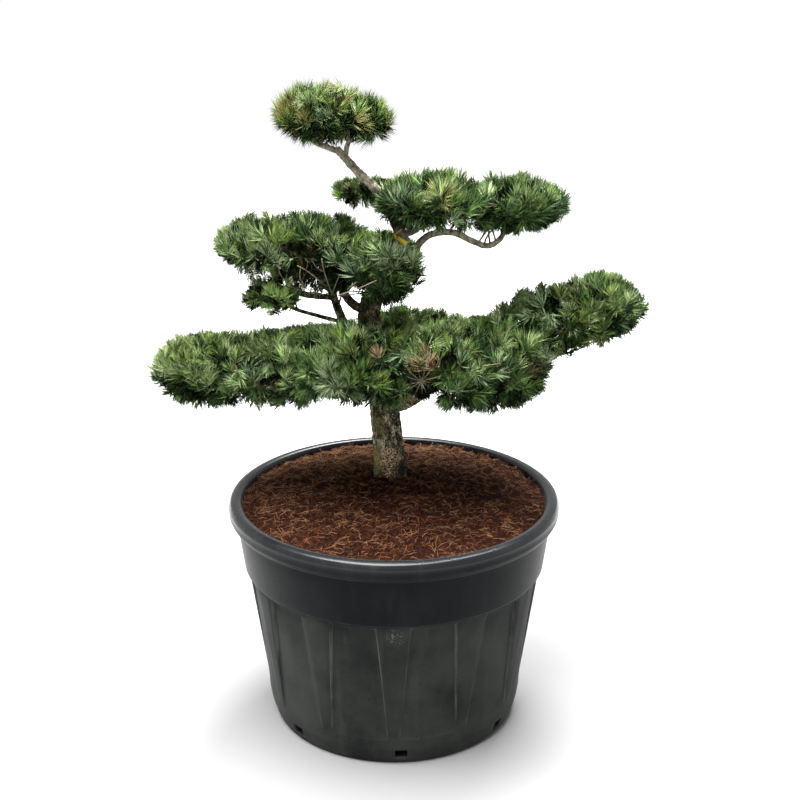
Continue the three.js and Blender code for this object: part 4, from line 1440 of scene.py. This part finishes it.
    def needle_piece(
        self, roots: Array, aim: Array, lengths: Array, tips: Array, hues: Array, widths: Array
    ) -> Piece:
        """Builds slim closed spindles of four faces.

        Args:
            roots: Where each needle starts.
            aim: Where it points at its root.
            lengths: How long it is.
            tips: Where it ends.
            hues: The number of its colour.
            widths: How far its belly stands out.

        Returns:
            The joined needles.
        """
        belly = roots + aim * (lengths * self.belly_share)[:, None]
        first, second = across_to(aim)
        spin = self.random.random(len(roots)) * FULL_TURN
        sides = [belly + swing(first, second, spin + turn) * widths[:, None] for turn in (0.0, QUARTER_TURN)]
        faces = SPINDLE[None] + (np.arange(len(roots)) * 4)[:, None, None]
        used = sorted(set(hues.tolist()))
        picks = np.repeat(np.searchsorted(used, hues), len(SPINDLE))
        finishes = [self.needles[number] for number in used]
        corners = np.stack([roots, *sides, tips], 1)
        name = f"{self.space.plan.name}_needles"
        return mesh_object(name, corners, faces.reshape(-1, 3), finishes, picks, False)

    def twig(
        self, start: Array, angle: float, rise: float, reach: float, bend: float, radii: Span
    ) -> tuple[Array, Array]:
        """Draws one twig that grows out into the mass with a wayward bend.

        Args:
            start: Where it starts.
            angle: The angle round the mass's middle where it ends.
            rise: How far up it ends.
            reach: How far out it ends, as a share of the mass's reach.
            bend: How wayward it is.
            radii: How thick it is at its start and its end.

        Returns:
            Its middle line and its radii.
        """
        out = np.array([math.cos(angle), math.sin(angle), rise])
        end = self.space.centre + out * np.array(self.space.plan.reach[:3]) * reach
        share = np.linspace(0, 1, self.twig_points)[:, None]
        sway = self.random.normal(0, bend * np.linalg.norm(end - start), 3)
        line = start + (end - start) * share + sway * share * (1 - share) * 2
        return line, np.linspace(*radii, self.twig_points)

    def shoot(self, knots: Array, foot: Array, axis: Array, length: float) -> Array:
        """Draws the middle line of a shoot from the handiest knot of a twig to a spray.

        Args:
            knots: The points that shoots may start from.
            foot: Where the spray starts.
            axis: Where it points.
            length: How long it is.

        Returns:
            One point in each row.
        """
        offset = knots - foot
        cost = np.linalg.norm(offset, axis=1) + self.shoot_detour * np.maximum(0, offset @ axis)
        start = knots[np.argmin(cost)]
        elbow = foot - axis * self.shoot_elbow * np.linalg.norm(foot - start)
        return np.stack([start, (start + elbow) / 2, elbow, foot, foot + axis * length * self.shoot_share])

    def grow_twigs(self, sprays: Brushes) -> Piece:
        """Grows twigs from the fork, branchlets from them and a shoot to every spray.

        Args:
            sprays: The sprays that the shoots run to.

        Returns:
            One piece with all the twigs.
        """
        draw = self.random
        thick, middling, thin = self.twig_radii
        main_bend, branchlet_bend, fan_bend = self.twig_bends
        twigs = []
        for main in range(self.main_twigs):
            angle = FULL_TURN * (main + draw.random() * self.main_stray) / self.main_twigs
            ends = (thick, middling)
            twigs.append(self.twig(self.space.fork, angle, 0.0, self.main_reach, main_bend, ends))
            stem, _ = twigs[-1]
            for small in range(self.branchlets):
                share = small / (self.branchlets - 1) - 0.5
                aside = share * FULL_TURN / self.main_twigs * self.branchlet_lap
                kind = small % len(self.branchlet_rises)
                twigs.append(self.twig(stem[2 + kind], angle + aside, self.branchlet_rises[kind],
                                       self.branchlet_reach, branchlet_bend, (middling, thin)))
        knots = np.concatenate([line for line, _ in twigs])
        for number in range(self.fan):
            angle = FULL_TURN * (number + draw.random() * self.fan_stray) / self.fan
            start = self.bough.points(np.array([mix(*self.fan_starts, number / self.fan)]))[0]
            rise = mix(*self.fan_rises, draw.random())
            twigs.append(self.twig(start, angle, rise, self.fan_reach, fan_bend, (middling, self.tip_radius)))
        targets = zip(sprays.feet, sprays.axes, sprays.lengths)
        shoots = np.array([self.shoot(knots, *target) for target in targets])
        sizes = np.tile(np.linspace(thin, self.tip_radius, shoots.shape[1]), (len(shoots), 1))
        meshes = [tubes(line[None], radii[None], self.twig_sides) for line, radii in twigs]
        meshes.append(tubes(shoots, sizes, self.shoot_sides))
        starts = np.cumsum([0] + [len(corners) for corners, _ in meshes[:-1]])
        corners = np.concatenate([corners for corners, _ in meshes])
        faces = np.concatenate([faces + start for (_, faces), start in zip(meshes, starts)])
        return mesh_object(f"{self.space.plan.name}_twigs", corners, faces, [self.bark])

    def build(self) -> None:
        """Makes and seats the mass's two pieces."""
        sprays = self.brushes()
        seat(self.grow_twigs(sprays), "bark")
        seat(self.grow_needles(sprays), "needles", self.space.plan.name)


@dataclass
class Bark:
    """The trunk's and the boughs' skins, swept finely and then given the bark's relief."""

    finish: Material
    ring_step: float = 0.0035
    side_step: float = 0.0032
    plate_size: float = 0.0075
    plate_stretch: Point = (1.0, 1.0, 0.45)
    plate_sway: Point = (0.012, 0.012, 0.020)
    crack_width: float = 0.22
    crack_depth: float = -1.0
    plate_height: float = 0.35
    relief_share: float = 0.075
    relief_most: float = 0.0022
    flare_height: float = 0.040
    flare_depth: float = 0.07
    flare_waves: tuple[tuple[float, float, float], ...] = ((1.0, 5, 0.8), (0.5, 3, 2.1))

    def sweep(self, limb: Limb, ground: float | None = None) -> Piece:
        """Sweeps a round skin along a limb, with flutes at a trunk's foot.

        Args:
            limb: The limb to cover.
            ground: The soil's height where the limb stands in it.

        Returns:
            The skin, without relief.
        """
        sides = max(10, int(FULL_TURN * float(limb.radii.max()) / self.side_step))
        rings = max(8, int(limb.length / self.ring_step))
        shares = np.linspace(0, 1, rings)
        centres, radii = limb.points(shares), limb.radius(shares)
        tangents = unit(np.gradient(centres, axis=0))
        across = np.empty_like(tangents)
        carried = np.array([1.0, 0.0, 0.0])
        for ring, tangent in enumerate(tangents):
            carried = carried - tangent * (carried @ tangent)
            carried /= np.linalg.norm(carried)
            across[ring] = carried
        along = np.cross(tangents, across)
        angles = turns(sides)
        size = np.repeat(radii[:, None], sides, 1)
        if ground is not None:
            foot = smooth(1 - (centres[:, 2] - ground) / self.flare_height)[:, None]
            lobes = sum(height * np.cos(angles * count + phase) for height, count, phase in self.flare_waves)
            size = size * (1 + self.flare_depth * foot * lobes[None])
        walls = centres[:, None] + swing(across[:, None], along[:, None], angles) * size[:, :, None]
        ends = np.repeat(centres[[0, -1], None], sides, 1)
        corners = np.concatenate([ends[:1], walls, ends[1:]])
        return welded(mesh_object(f"{limb.name}_skin", corners, ring_faces(rings + 2, sides), [self.finish]))

    def relieve(self, skin: Piece, limb: Limb, seed: int) -> Piece:
        """Raises plates and sinks cracks over a skin by Geometry Nodes.

        Args:
            skin: The swept skin, removed at the end.
            limb: The limb that it covers.
            seed: Where in the pattern this limb lies.

        Returns:
            The finished bark piece.
        """
        depth = min(self.relief_most, float(limb.radii.max()) * self.relief_share)
        recipe = Recipe(f"bark_relief_{limb.name}",
                        {"Plates": 1 / self.plate_size, "Depth": depth, "Offset": float(seed)})
        shifted = recipe.vectors("ADD", recipe.place, recipe.combined(X=recipe.size("Offset")))
        swayed = recipe.vectors("MULTIPLY_ADD", recipe.wander(shifted, 70.0, 3.0), self.plate_sway, shifted)
        squeezed = recipe.vectors("MULTIPLY", swayed, self.plate_stretch)
        cells = recipe.cells(recipe.size("Plates"), "DISTANCE_TO_EDGE", squeezed)
        plates = recipe.ranged(cells, (0.0, self.crack_width), (self.crack_depth, self.plate_height))
        total = recipe.maths("ADD", plates, recipe.noise(110.0, 6.0, 0.7, shifted))
        push = recipe.vectors("SCALE", recipe.normal, recipe.times(total, recipe.size("Depth")))
        raised = recipe.moved(recipe.size("Geometry"), push)
        made = recipe.run(skin, recipe.dressed(raised, self.finish), f"{limb.name}_bark")
        bpy.data.objects.remove(skin)
        return made


class Tree:
    """The pine: its trunk, its boughs and its masses of foliage."""

    GROUND = 0.474
    LEADER_RADII = (0.0057, 0.0045)
    LEADER_START = 0.99
    LEADER_SEED = 40
    FIRST_MASS_SEED = 201
    NEAR_LIMB = 1.3
    NEAR_STEP = 0.01

    def __init__(self) -> None:
        """Works out every limb and space before anything is made."""
        self.spaces = {plan.name: Space(plan) for plan in PADS}
        for space in self.spaces.values():
            for other in self.spaces.values():
                space.meet(other)
        trunk = Limb("trunk", list(TRUNK_PATH))
        self.limbs = {"trunk": trunk}
        for plan in BOUGHS:
            parent = self.limbs[plan.parent]
            root = parent.points(np.array([parent.share_at(plan.height)]))[0]
            places = [tuple(root), *plan.via, tuple(self.spaces[plan.pad].fork)]
            last = len(places) - 1
            stations = [(*place, mix(*plan.radii, index / last)) for index, place in enumerate(places)]
            self.limbs[plan.name] = Limb(plan.name, stations)
        ends = (trunk.points(np.array([self.LEADER_START]))[0], self.spaces["top_left_pad"].fork)
        self.leader = Limb("top_left_stem", [(*end, radius) for end, radius in zip(ends, self.LEADER_RADII)])

    def build(self) -> None:
        """Makes and seats the bark pieces and every mass."""
        bark = Bark(BarkFinish().material())
        for seed, limb in enumerate(self.limbs.values()):
            skin = bark.sweep(limb, self.GROUND if limb.name == "trunk" else None)
            seat(bark.relieve(skin, limb, seed), "bark", limb.name)
        seat(bark.relieve(bark.sweep(self.leader), self.leader, self.LEADER_SEED), "bark")
        BareTwigs(BARE_TWIG_FINISH.material()).build()
        twigs = TWIG_FINISH.material()
        needles = [NeedleFinish(hue).material() for hue in Hue]
        boughs = {plan.pad: self.limbs[plan.name] for plan in BOUGHS} | {"top_left_pad": self.leader}
        for seed, space in enumerate(self.spaces.values(), self.FIRST_MASS_SEED):
            near = [limb for limb in self.limbs.values() if self.is_near(space, limb)]
            Foliage(space, near, boughs[space.plan.name], seed, twigs, needles).build()

    def is_near(self, space: Space, limb: Limb) -> bool:
        """Says whether a limb runs through a mass or close by it."""
        return space.fill(limb.samples(self.NEAR_STEP)[0]).min() < self.NEAR_LIMB


@dataclass
class BareTwigs:
    """The leafless twigs in the hollows, with the dead whorl that shows end on in the low front one."""

    finish: Material
    hub: Point = (0.050, -0.208, 0.771)
    spokes: int = 13
    spoke_lengths: Span = (0.018, 0.036)
    spoke_step: float = 0.62
    elbow_rise: float = 0.006
    tip_rise: float = 0.008
    least_radius: float = 0.00010
    most_radius: float = 0.0015
    radius_share: float = 0.0095
    tip_share: float = 0.45
    points: int = 7
    sides: int = 5

    def whorl(self) -> list[tuple[Point, ...]]:
        """Spreads the whorl's spokes round its hub, each by its places from the hub to its tip."""
        x, y, z = self.hub
        spokes = []
        for number in range(self.spokes):
            angle = number * GOLDEN_ANGLE
            size = mix(*self.spoke_lengths, number * self.spoke_step % 1)
            across, up = size * math.cos(angle), size * math.sin(angle)
            elbow = (x + across / 2, y - self.elbow_rise, z + up / 2)
            spokes.append((self.hub, elbow, (x + across, y - self.tip_rise, z + up)))
        return spokes

    def build(self) -> None:
        """Makes and seats all of them as one piece, thinner the shorter they are."""
        runs = [*BARE_TWIGS, *self.whorl()]
        lines = [Limb("bare_twig", [(*place, 0.0) for place in places]) for places in runs]
        shares = np.linspace(0, 1, self.points)
        sizes = [min(self.most_radius, self.least_radius + self.radius_share * limb.length) for limb in lines]
        radii = np.array(sizes)[:, None] * np.linspace(1.0, self.tip_share, self.points)
        corners, faces = tubes(np.stack([limb.points(shares) for limb in lines]), radii, self.sides)
        seat(mesh_object("bare_twigs", corners, faces, [self.finish]), "bark")


@dataclass
class Pot:
    """The round nursery pot: a fluted wall with raised ribs, a collar and a rolled rim."""

    finish: Material
    ribs: int = 12
    columns_each: int = 22
    edge_columns: int = 5
    foot: Outline = ((0.243, 0.0), (0.247, 0.006))
    body: Outline = ((0.2565, 0.0365), (0.2597, 0.060), (0.294, 0.316), (0.295, 0.323))
    collar: Outline = ((0.301, 0.327), (0.314, 0.424))
    rim: Outline = (
        (0.322, 0.427), (0.329, 0.439), (0.330, 0.455), (0.3245, 0.464), (0.3155, 0.467), (0.3065, 0.465))
    inside: Outline = ((0.303, 0.459), (0.283, 0.316), (0.240, 0.005))
    floor: float = 0.005
    field_depth: float = 0.0065
    field_foot: float = 0.060
    field_head: float = 0.316
    field_fade: float = 0.003
    head_lap: float = 0.001
    mean_radius: float = 0.28
    rib_widths: Span = (0.022, 0.060)
    rib_edge: float = 0.0032
    corner_round: float = 0.003
    corner_steps: int = 5
    ring_step: float = 0.012
    drain_holes: int = 7
    drain_size: Point = (0.024, 0.040, 0.018)
    drain_place: Point = (0.0, -0.250, 0.026)
    drain_first: float = math.radians(3.3)

    def profile(self) -> Array:
        """Rounds the corners of the outline and steps evenly along it.

        Returns:
            Radius and height, from the middle of the underside to the middle of the floor inside.
        """
        parts = (*self.foot, *self.body, *self.collar, *self.rim, *self.inside)
        outline = np.array([(0.0, 0.0), *parts, (0.0, self.floor)])
        rounded = [outline[0]]
        for before, corner, after in zip(outline, outline[1:], outline[2:]):
            to, on = before - corner, after - corner
            size = min(self.corner_round, 0.45 * np.linalg.norm(to), 0.45 * np.linalg.norm(on))
            start, end = corner + unit(to) * size, corner + unit(on) * size
            for share in np.linspace(0, 1, self.corner_steps):
                rounded.append((1 - share) ** 2 * start + 2 * share * (1 - share) * corner + share**2 * end)
        rounded.append(outline[-1])
        dense = [rounded[0]]
        for start, end in zip(rounded, rounded[1:]):
            steps = max(1, math.ceil(np.linalg.norm(end - start) / self.ring_step))
            dense.extend(start + (end - start) * step / steps for step in range(1, steps + 1))
        return np.array(dense)

    def column_offsets(self, half: float, edge: float, period: float) -> Array:
        """Spaces the columns of one rib and one field so that they follow the rib's edges."""
        each = self.edge_columns
        rib = np.linspace(-half, half, each)
        rise = half + edge * np.linspace(0, 1, each)[1:]
        across = np.linspace(half + edge, period - half - edge, self.columns_each - 3 * each + 4)[1:-1]
        fall = period - half - edge * np.linspace(1, 0, each)[:-1]
        return np.concatenate([rib, rise, across, fall])

    def wall(self) -> Piece:
        """Turns the outline round and sinks the fields between the ribs."""
        profile = self.profile()
        period = FULL_TURN / self.ribs
        outer_last = int(np.argmax(profile[:, 1])) + 1
        edge = self.rib_edge / self.mean_radius
        starts = -QUARTER_TURN + np.arange(self.ribs)[:, None] * period
        rings = []
        for ring, (radius, height) in enumerate(profile):
            share = float(np.clip((height - self.field_foot) / (self.field_head - self.field_foot), 0, 1))
            half = mix(*self.rib_widths, share) / 2 / self.mean_radius
            offsets = self.column_offsets(half, edge, period)
            sink = np.zeros(self.columns_each)
            if ring < outer_last and height > self.field_foot:
                head = smooth((self.field_head + self.head_lap - height) / self.field_fade)
                inward = np.minimum(offsets - half, period - half - offsets) / edge
                sink = self.field_depth * math.sqrt(share) * head * smooth(inward)
            reach = np.tile(radius - sink, self.ribs)
            rings.append(round_axis(reach, (starts + offsets[None]).ravel(), np.full(len(reach), height)))
        faces = ring_faces(len(profile), self.ribs * self.columns_each)
        return welded(mesh_object("pot_wall", np.array(rings), faces, [self.finish]))

    def drains(self) -> Piece:
        """Makes the boxes that the drainage holes are cut with."""
        box = np.array([(x, y, z) for z in (-0.5, 0.5) for x, y in SQUARE])
        box = box * self.drain_size + self.drain_place
        boxes = []
        for hole in range(self.drain_holes):
            angle = self.drain_first + hole * FULL_TURN / self.drain_holes
            across, up = math.cos(angle), math.sin(angle)
            boxes.append(box @ np.array([[across, up, 0], [-up, across, 0], [0, 0, 1]]))
        faces = np.concatenate([BOX + 8 * number for number in range(len(boxes))])
        return mesh_object("drain_cutter", np.concatenate(boxes), faces, [self.finish], is_smooth=False)

    def build(self) -> None:
        """Makes the wall, cuts its drainage holes and seats it."""
        wall, cutter = self.wall(), self.drains()
        cut = wall.modifiers.new("drains", "BOOLEAN")
        cut.operation = "DIFFERENCE"
        cut.object = cutter
        pot = baked(wall, "nursery_pot")
        for helper in (wall, cutter):
            bpy.data.objects.remove(helper)
        seat(pot, "pot_plastic", "pot")


@dataclass
class Soil:
    """The heap of coir in the pot: a lumpy bed and loose curly fibres on it."""

    crumbs: Material
    fibres: list[Material]
    heap: Outline = ((0.0, 0.484), (0.060, 0.481), (0.120, 0.474), (0.214, 0.468), (0.299, 0.452))
    hidden_foot: float = 0.420
    hidden_share: float = 0.96
    columns: int = 200
    rings: int = 84
    lump: float = 0.0062
    lump_lowest: float = 0.440
    density: float = 30000.0
    steepest: float = 0.4
    fibre_length: float = 0.019
    fibre_lengths: Span = (0.4, 1.3)
    fibre_radius: float = 0.00030
    fibre_tilt: float = 0.45
    fibre_wave: float = 0.016
    arc: tuple[tuple[str, Point], ...] = (
        ("Start", (-0.5, 0.0, 0.0)), ("Start Handle", (-0.2, 0.35, 0.12)),
        ("End Handle", (0.2, -0.25, 0.10)), ("End", (0.5, 0.05, 0.0)))
    drier_side: Point = (-0.5, 1.0, 0.0)
    drier_reach: Span = (-0.02, 0.20)
    drier_most: float = 0.34
    seed: int = 5

    def bed(self) -> Piece:
        """Makes the lumpy top and the side that the pot hides."""
        table = np.array(self.heap)
        radii = np.linspace(0.0, table[-1, 0], self.rings)
        reach, turn = np.meshgrid(radii, turns(self.columns), indexing="ij")
        corners = round_axis(reach, turn, np.interp(reach, table[:, 0], table[:, 1]))
        foot = (0, 0, self.hidden_foot)
        skirt = corners[-1] * (self.hidden_share, self.hidden_share, 0) + foot
        corners = np.concatenate([corners, skirt[None], (corners[0] * 0 + foot)[None]])
        faces = ring_faces(self.rings + 2, self.columns)[:, ::-1]
        return welded(mesh_object("soil_sheet", corners, faces, [self.crumbs]))

    def build(self) -> None:
        """Makes and seats the bed and its fibres."""
        sheet = self.bed()
        heave = Recipe("soil_heave", {"Lump": self.lump, "Lowest": self.lump_lowest})
        level = heave.ranged(heave.noise(38.0, 6.0, 0.62), (0.3, 0.7), (-1.2, 1.2))
        lift = heave.combined(Z=heave.times(level, heave.size("Lump")))
        above = heave.reaches(heave.part(heave.place, "Z"), heave.size("Lowest"))
        heaved = heave.moved(heave.size("Geometry"), lift, Selection=above)
        bed = heave.run(sheet, heave.dressed(heaved, self.crumbs), "soil_bed")
        bpy.data.objects.remove(sheet)
        seat(bed, "coir_soil", "soil")
        seat(self.scatter(bed), "coir_soil")

    def strand(self, recipe: Recipe) -> Socket:
        """Makes one fibre of length one: a curved arc swept with a thin ring."""
        arc = recipe.add("GeometryNodeCurvePrimitiveBezierSegment", Resolution=3)
        for label, place in self.arc:
            arc.inputs[label].default_value = place
        ring = recipe.get("GeometryNodeCurvePrimitiveCircle", Resolution=3, Radius=1.0)
        thick = recipe.maths("DIVIDE", recipe.size("Radius"), recipe.size("Length"))
        scale = recipe.combined(X=thick, Y=thick, Z=thick)
        slim = recipe.get("GeometryNodeTransform", Geometry=ring, Scale=scale)
        return recipe.get("GeometryNodeCurveToMesh", Curve=recipe.result(arc), Profile_Curve=slim)

    def scatter(self, bed: Piece) -> Piece:
        """Strews curly fibres over the bed by Geometry Nodes.

        Args:
            bed: The lumpy bed.

        Returns:
            The fibres as one piece.
        """
        recipe = Recipe("coir_fibres", {"Density": self.density, "Length": self.fibre_length,
                                        "Radius": self.fibre_radius, "Seed": self.seed})
        upward = recipe.reaches(recipe.part(recipe.normal, "Z"), self.steepest)
        strewn = recipe.get("GeometryNodeDistributePointsOnFaces", Mesh=recipe.size("Geometry"),
                            Selection=upward, Density=recipe.size("Density"), Seed=recipe.size("Seed"))
        turn = recipe.get("FunctionNodeRandomValue", {"data_type": "FLOAT_VECTOR"},
                          Min=(-self.fibre_tilt, -self.fibre_tilt, 0.0),
                          Max=(self.fibre_tilt, self.fibre_tilt, FULL_TURN))
        size = recipe.times(recipe.random(*self.fibre_lengths, 11), recipe.size("Length"))
        placed = recipe.get("GeometryNodeInstanceOnPoints", Points=strewn, Instance=self.strand(recipe),
                            Rotation=turn, Scale=size)
        toned = recipe.get("GeometryNodeStoreNamedAttribute", {"data_type": "FLOAT", "domain": "INSTANCE"},
                           Geometry=placed, Name="tone", Value=recipe.random(0.0, 1.0, 23))
        whole = recipe.get("GeometryNodeRealizeInstances", Geometry=toned)
        waves = recipe.vectors("SUBTRACT", recipe.wander(recipe.place, 55.0), (0.5, 0.5, 0.35))
        dressed = recipe.moved(whole, recipe.vectors("SCALE", waves, self.fibre_wave))
        tone = recipe.get("GeometryNodeInputNamedAttribute", {"data_type": "FLOAT"}, Name="tone")
        # Painted light: fibres take paler finishes the further they lie towards the back left, lifting that
        # part of the heap out of the crown's shadow.
        behind = recipe.vectors("DOT_PRODUCT", recipe.place, self.drier_side)
        lit_tone = recipe.maths("ADD", tone, recipe.ranged(behind, self.drier_reach, (0.0, self.drier_most)))
        for number, material in enumerate(self.fibres):
            pick = recipe.reaches(lit_tone, number / len(self.fibres))
            dressed = recipe.dressed(dressed, material, Selection=pick)
        return recipe.run(bed, dressed, "coir_fibres")


@dataclass
class Tie:
    """A yellow plastic band wound aslant round the trunk, with a loose end."""

    finish: Material
    trunk: Limb
    height: float = 0.970
    width: float = 0.010
    thickness: float = 0.0009
    slant: float = 0.58
    clearance: float = 0.0012
    ripple: float = 0.0006
    ripples: int = 7
    sides: int = 40
    end_width: float = 0.006
    ends: tuple[tuple[Point, ...], ...] = (
        ((0.001, 0.0395, 0.982), (0.008, 0.0350, 0.988), (0.016, 0.0320, 0.996), (0.025, 0.0290, 1.001)),
        ((-0.006, 0.0440, 0.986), (-0.012, 0.0440, 0.998), (-0.011, 0.0410, 1.010), (-0.002, 0.0390, 1.013)),
    )

    def build(self) -> None:
        """Makes and seats the band and its loose ends."""
        share = np.array([self.trunk.share_at(self.height)])
        around = float(self.trunk.radius(share)[0]) + self.clearance
        angles = np.linspace(0, FULL_TURN, self.sides, endpoint=False)
        rise = -math.tan(self.slant) * np.cos(angles) * around
        ripple = self.ripple * np.sin(angles * self.ripples)
        edges = []
        for height, out in ((-0.5, 0.0), (0.5, 0.0), (0.5, 1.0), (-0.5, 1.0)):
            size = around + ripple + out * self.thickness
            edges.append(self.trunk.points(share) + round_axis(size, angles, rise + height * self.width))
        faces = ring_faces(self.sides, 4, True)[:, ::-1]
        seat(mesh_object("tie_band", np.stack(edges, 1), faces, [self.finish]), "tie_plastic", "tie")
        for number, places in enumerate(self.ends, 1):
            seat(self.loose_end(f"tie_end_{number}", np.array(places)), "tie_plastic")

    def loose_end(self, name: str, places: Array) -> Piece:
        """Makes one loose end of the band, a flat strip that twists a little.

        Args:
            name: The piece's name.
            places: Points along its middle.

        Returns:
            The closed strip.
        """
        flat, face = across_to(unit(np.gradient(places, axis=0)))
        edges = [places + flat * x * self.end_width + face * y * self.thickness for x, y in SQUARE]
        last = (len(places) - 1) * 4
        caps = np.array([[3, 2, 1, 0], [last, last + 1, last + 2, last + 3]])
        faces = np.concatenate([ring_faces(len(places), 4), caps])
        return welded(mesh_object(name, np.stack(edges, 1), faces, [self.finish], is_smooth=False))


@dataclass(frozen=True)
class Studio:
    """A pale floor, soft lights and the camera of the photograph."""

    camera_place: Point = (0.012, -2.57, 1.558)
    camera_pitch: float = 0.3353
    lens: float = 62.64
    sensor: float = 36.0
    floor_size: float = 14.0
    floor_near: Colour = (0.15, 0.15, 0.15)
    floor_far: Colour = (0.96, 0.96, 0.96)
    floor_reach: Span = (0.5, 4.0)
    floor_roughness: float = 0.9
    sky_strength: float = 1.0
    lit_place: Point = (0, 0, 0.7)

    def build(self) -> None:
        """Makes the camera, the lights and the floor."""
        scene = bpy.context.scene
        scene.view_settings.view_transform = "Standard"
        data = bpy.data.cameras.new("photo_camera")
        data.lens, data.sensor_width = self.lens, self.sensor
        scene.camera = linked("photo_camera", data)
        scene.camera.location = self.camera_place
        scene.camera.rotation_euler = (QUARTER_TURN - self.camera_pitch, 0, 0)
        scene.world = bpy.data.worlds.new("soft_sky")
        scene.world.use_nodes = True
        sky = scene.world.node_tree.nodes["Background"]
        sky.inputs["Color"].default_value = (1, 1, 1, 1)
        sky.inputs["Strength"].default_value = self.sky_strength
        self.lamp("key", (-0.6, -0.6, 3.9), 1050.0, 2.8)
        self.lamp("back", (0.6, 1.4, 3.6), 620.0, 1.6)
        self.floor()

    def lamp(self, name: str, place: Point, power: float, size: float) -> None:
        """Hangs one soft square lamp that points at the tree."""
        data = bpy.data.lights.new(name, "AREA")
        data.energy, data.size = power, size
        lamp = linked(name, data)
        lamp.location = place
        lamp.rotation_euler = (Vector(self.lit_place) - Vector(place)).to_track_quat("-Z", "Y").to_euler()

    def floor(self) -> None:
        """Lays the floor, grey round the pot and pale further out."""
        paint = Painter("studio_floor")
        near = paint.near((0.0, 0.0, 0.0), *self.floor_reach)
        made = paint.coat(Base_Color=paint.blend(near, self.floor_far, self.floor_near),
                          Roughness=self.floor_roughness)
        corners = np.array([(x * self.floor_size, y * self.floor_size, 0.0) for x, y in SQUARE])
        mesh_object("studio_floor", corners, np.array([[0, 1, 2, 3]]), [made], is_smooth=False)


def main() -> None:
    """Builds the stage and the plant around the frame."""
    logging.basicConfig(level=logging.INFO, format="%(message)s")
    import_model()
    Studio().build()
    Pot(PotFinish().material()).build()
    Soil(SoilFinish().material(), [finish.material() for finish in COIR_FINISHES]).build()
    tree = Tree()
    tree.build()
    Tie(TIE_FINISH.material(), tree.limbs["trunk"]).build()
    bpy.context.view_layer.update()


if __name__ == "__main__":
    main()
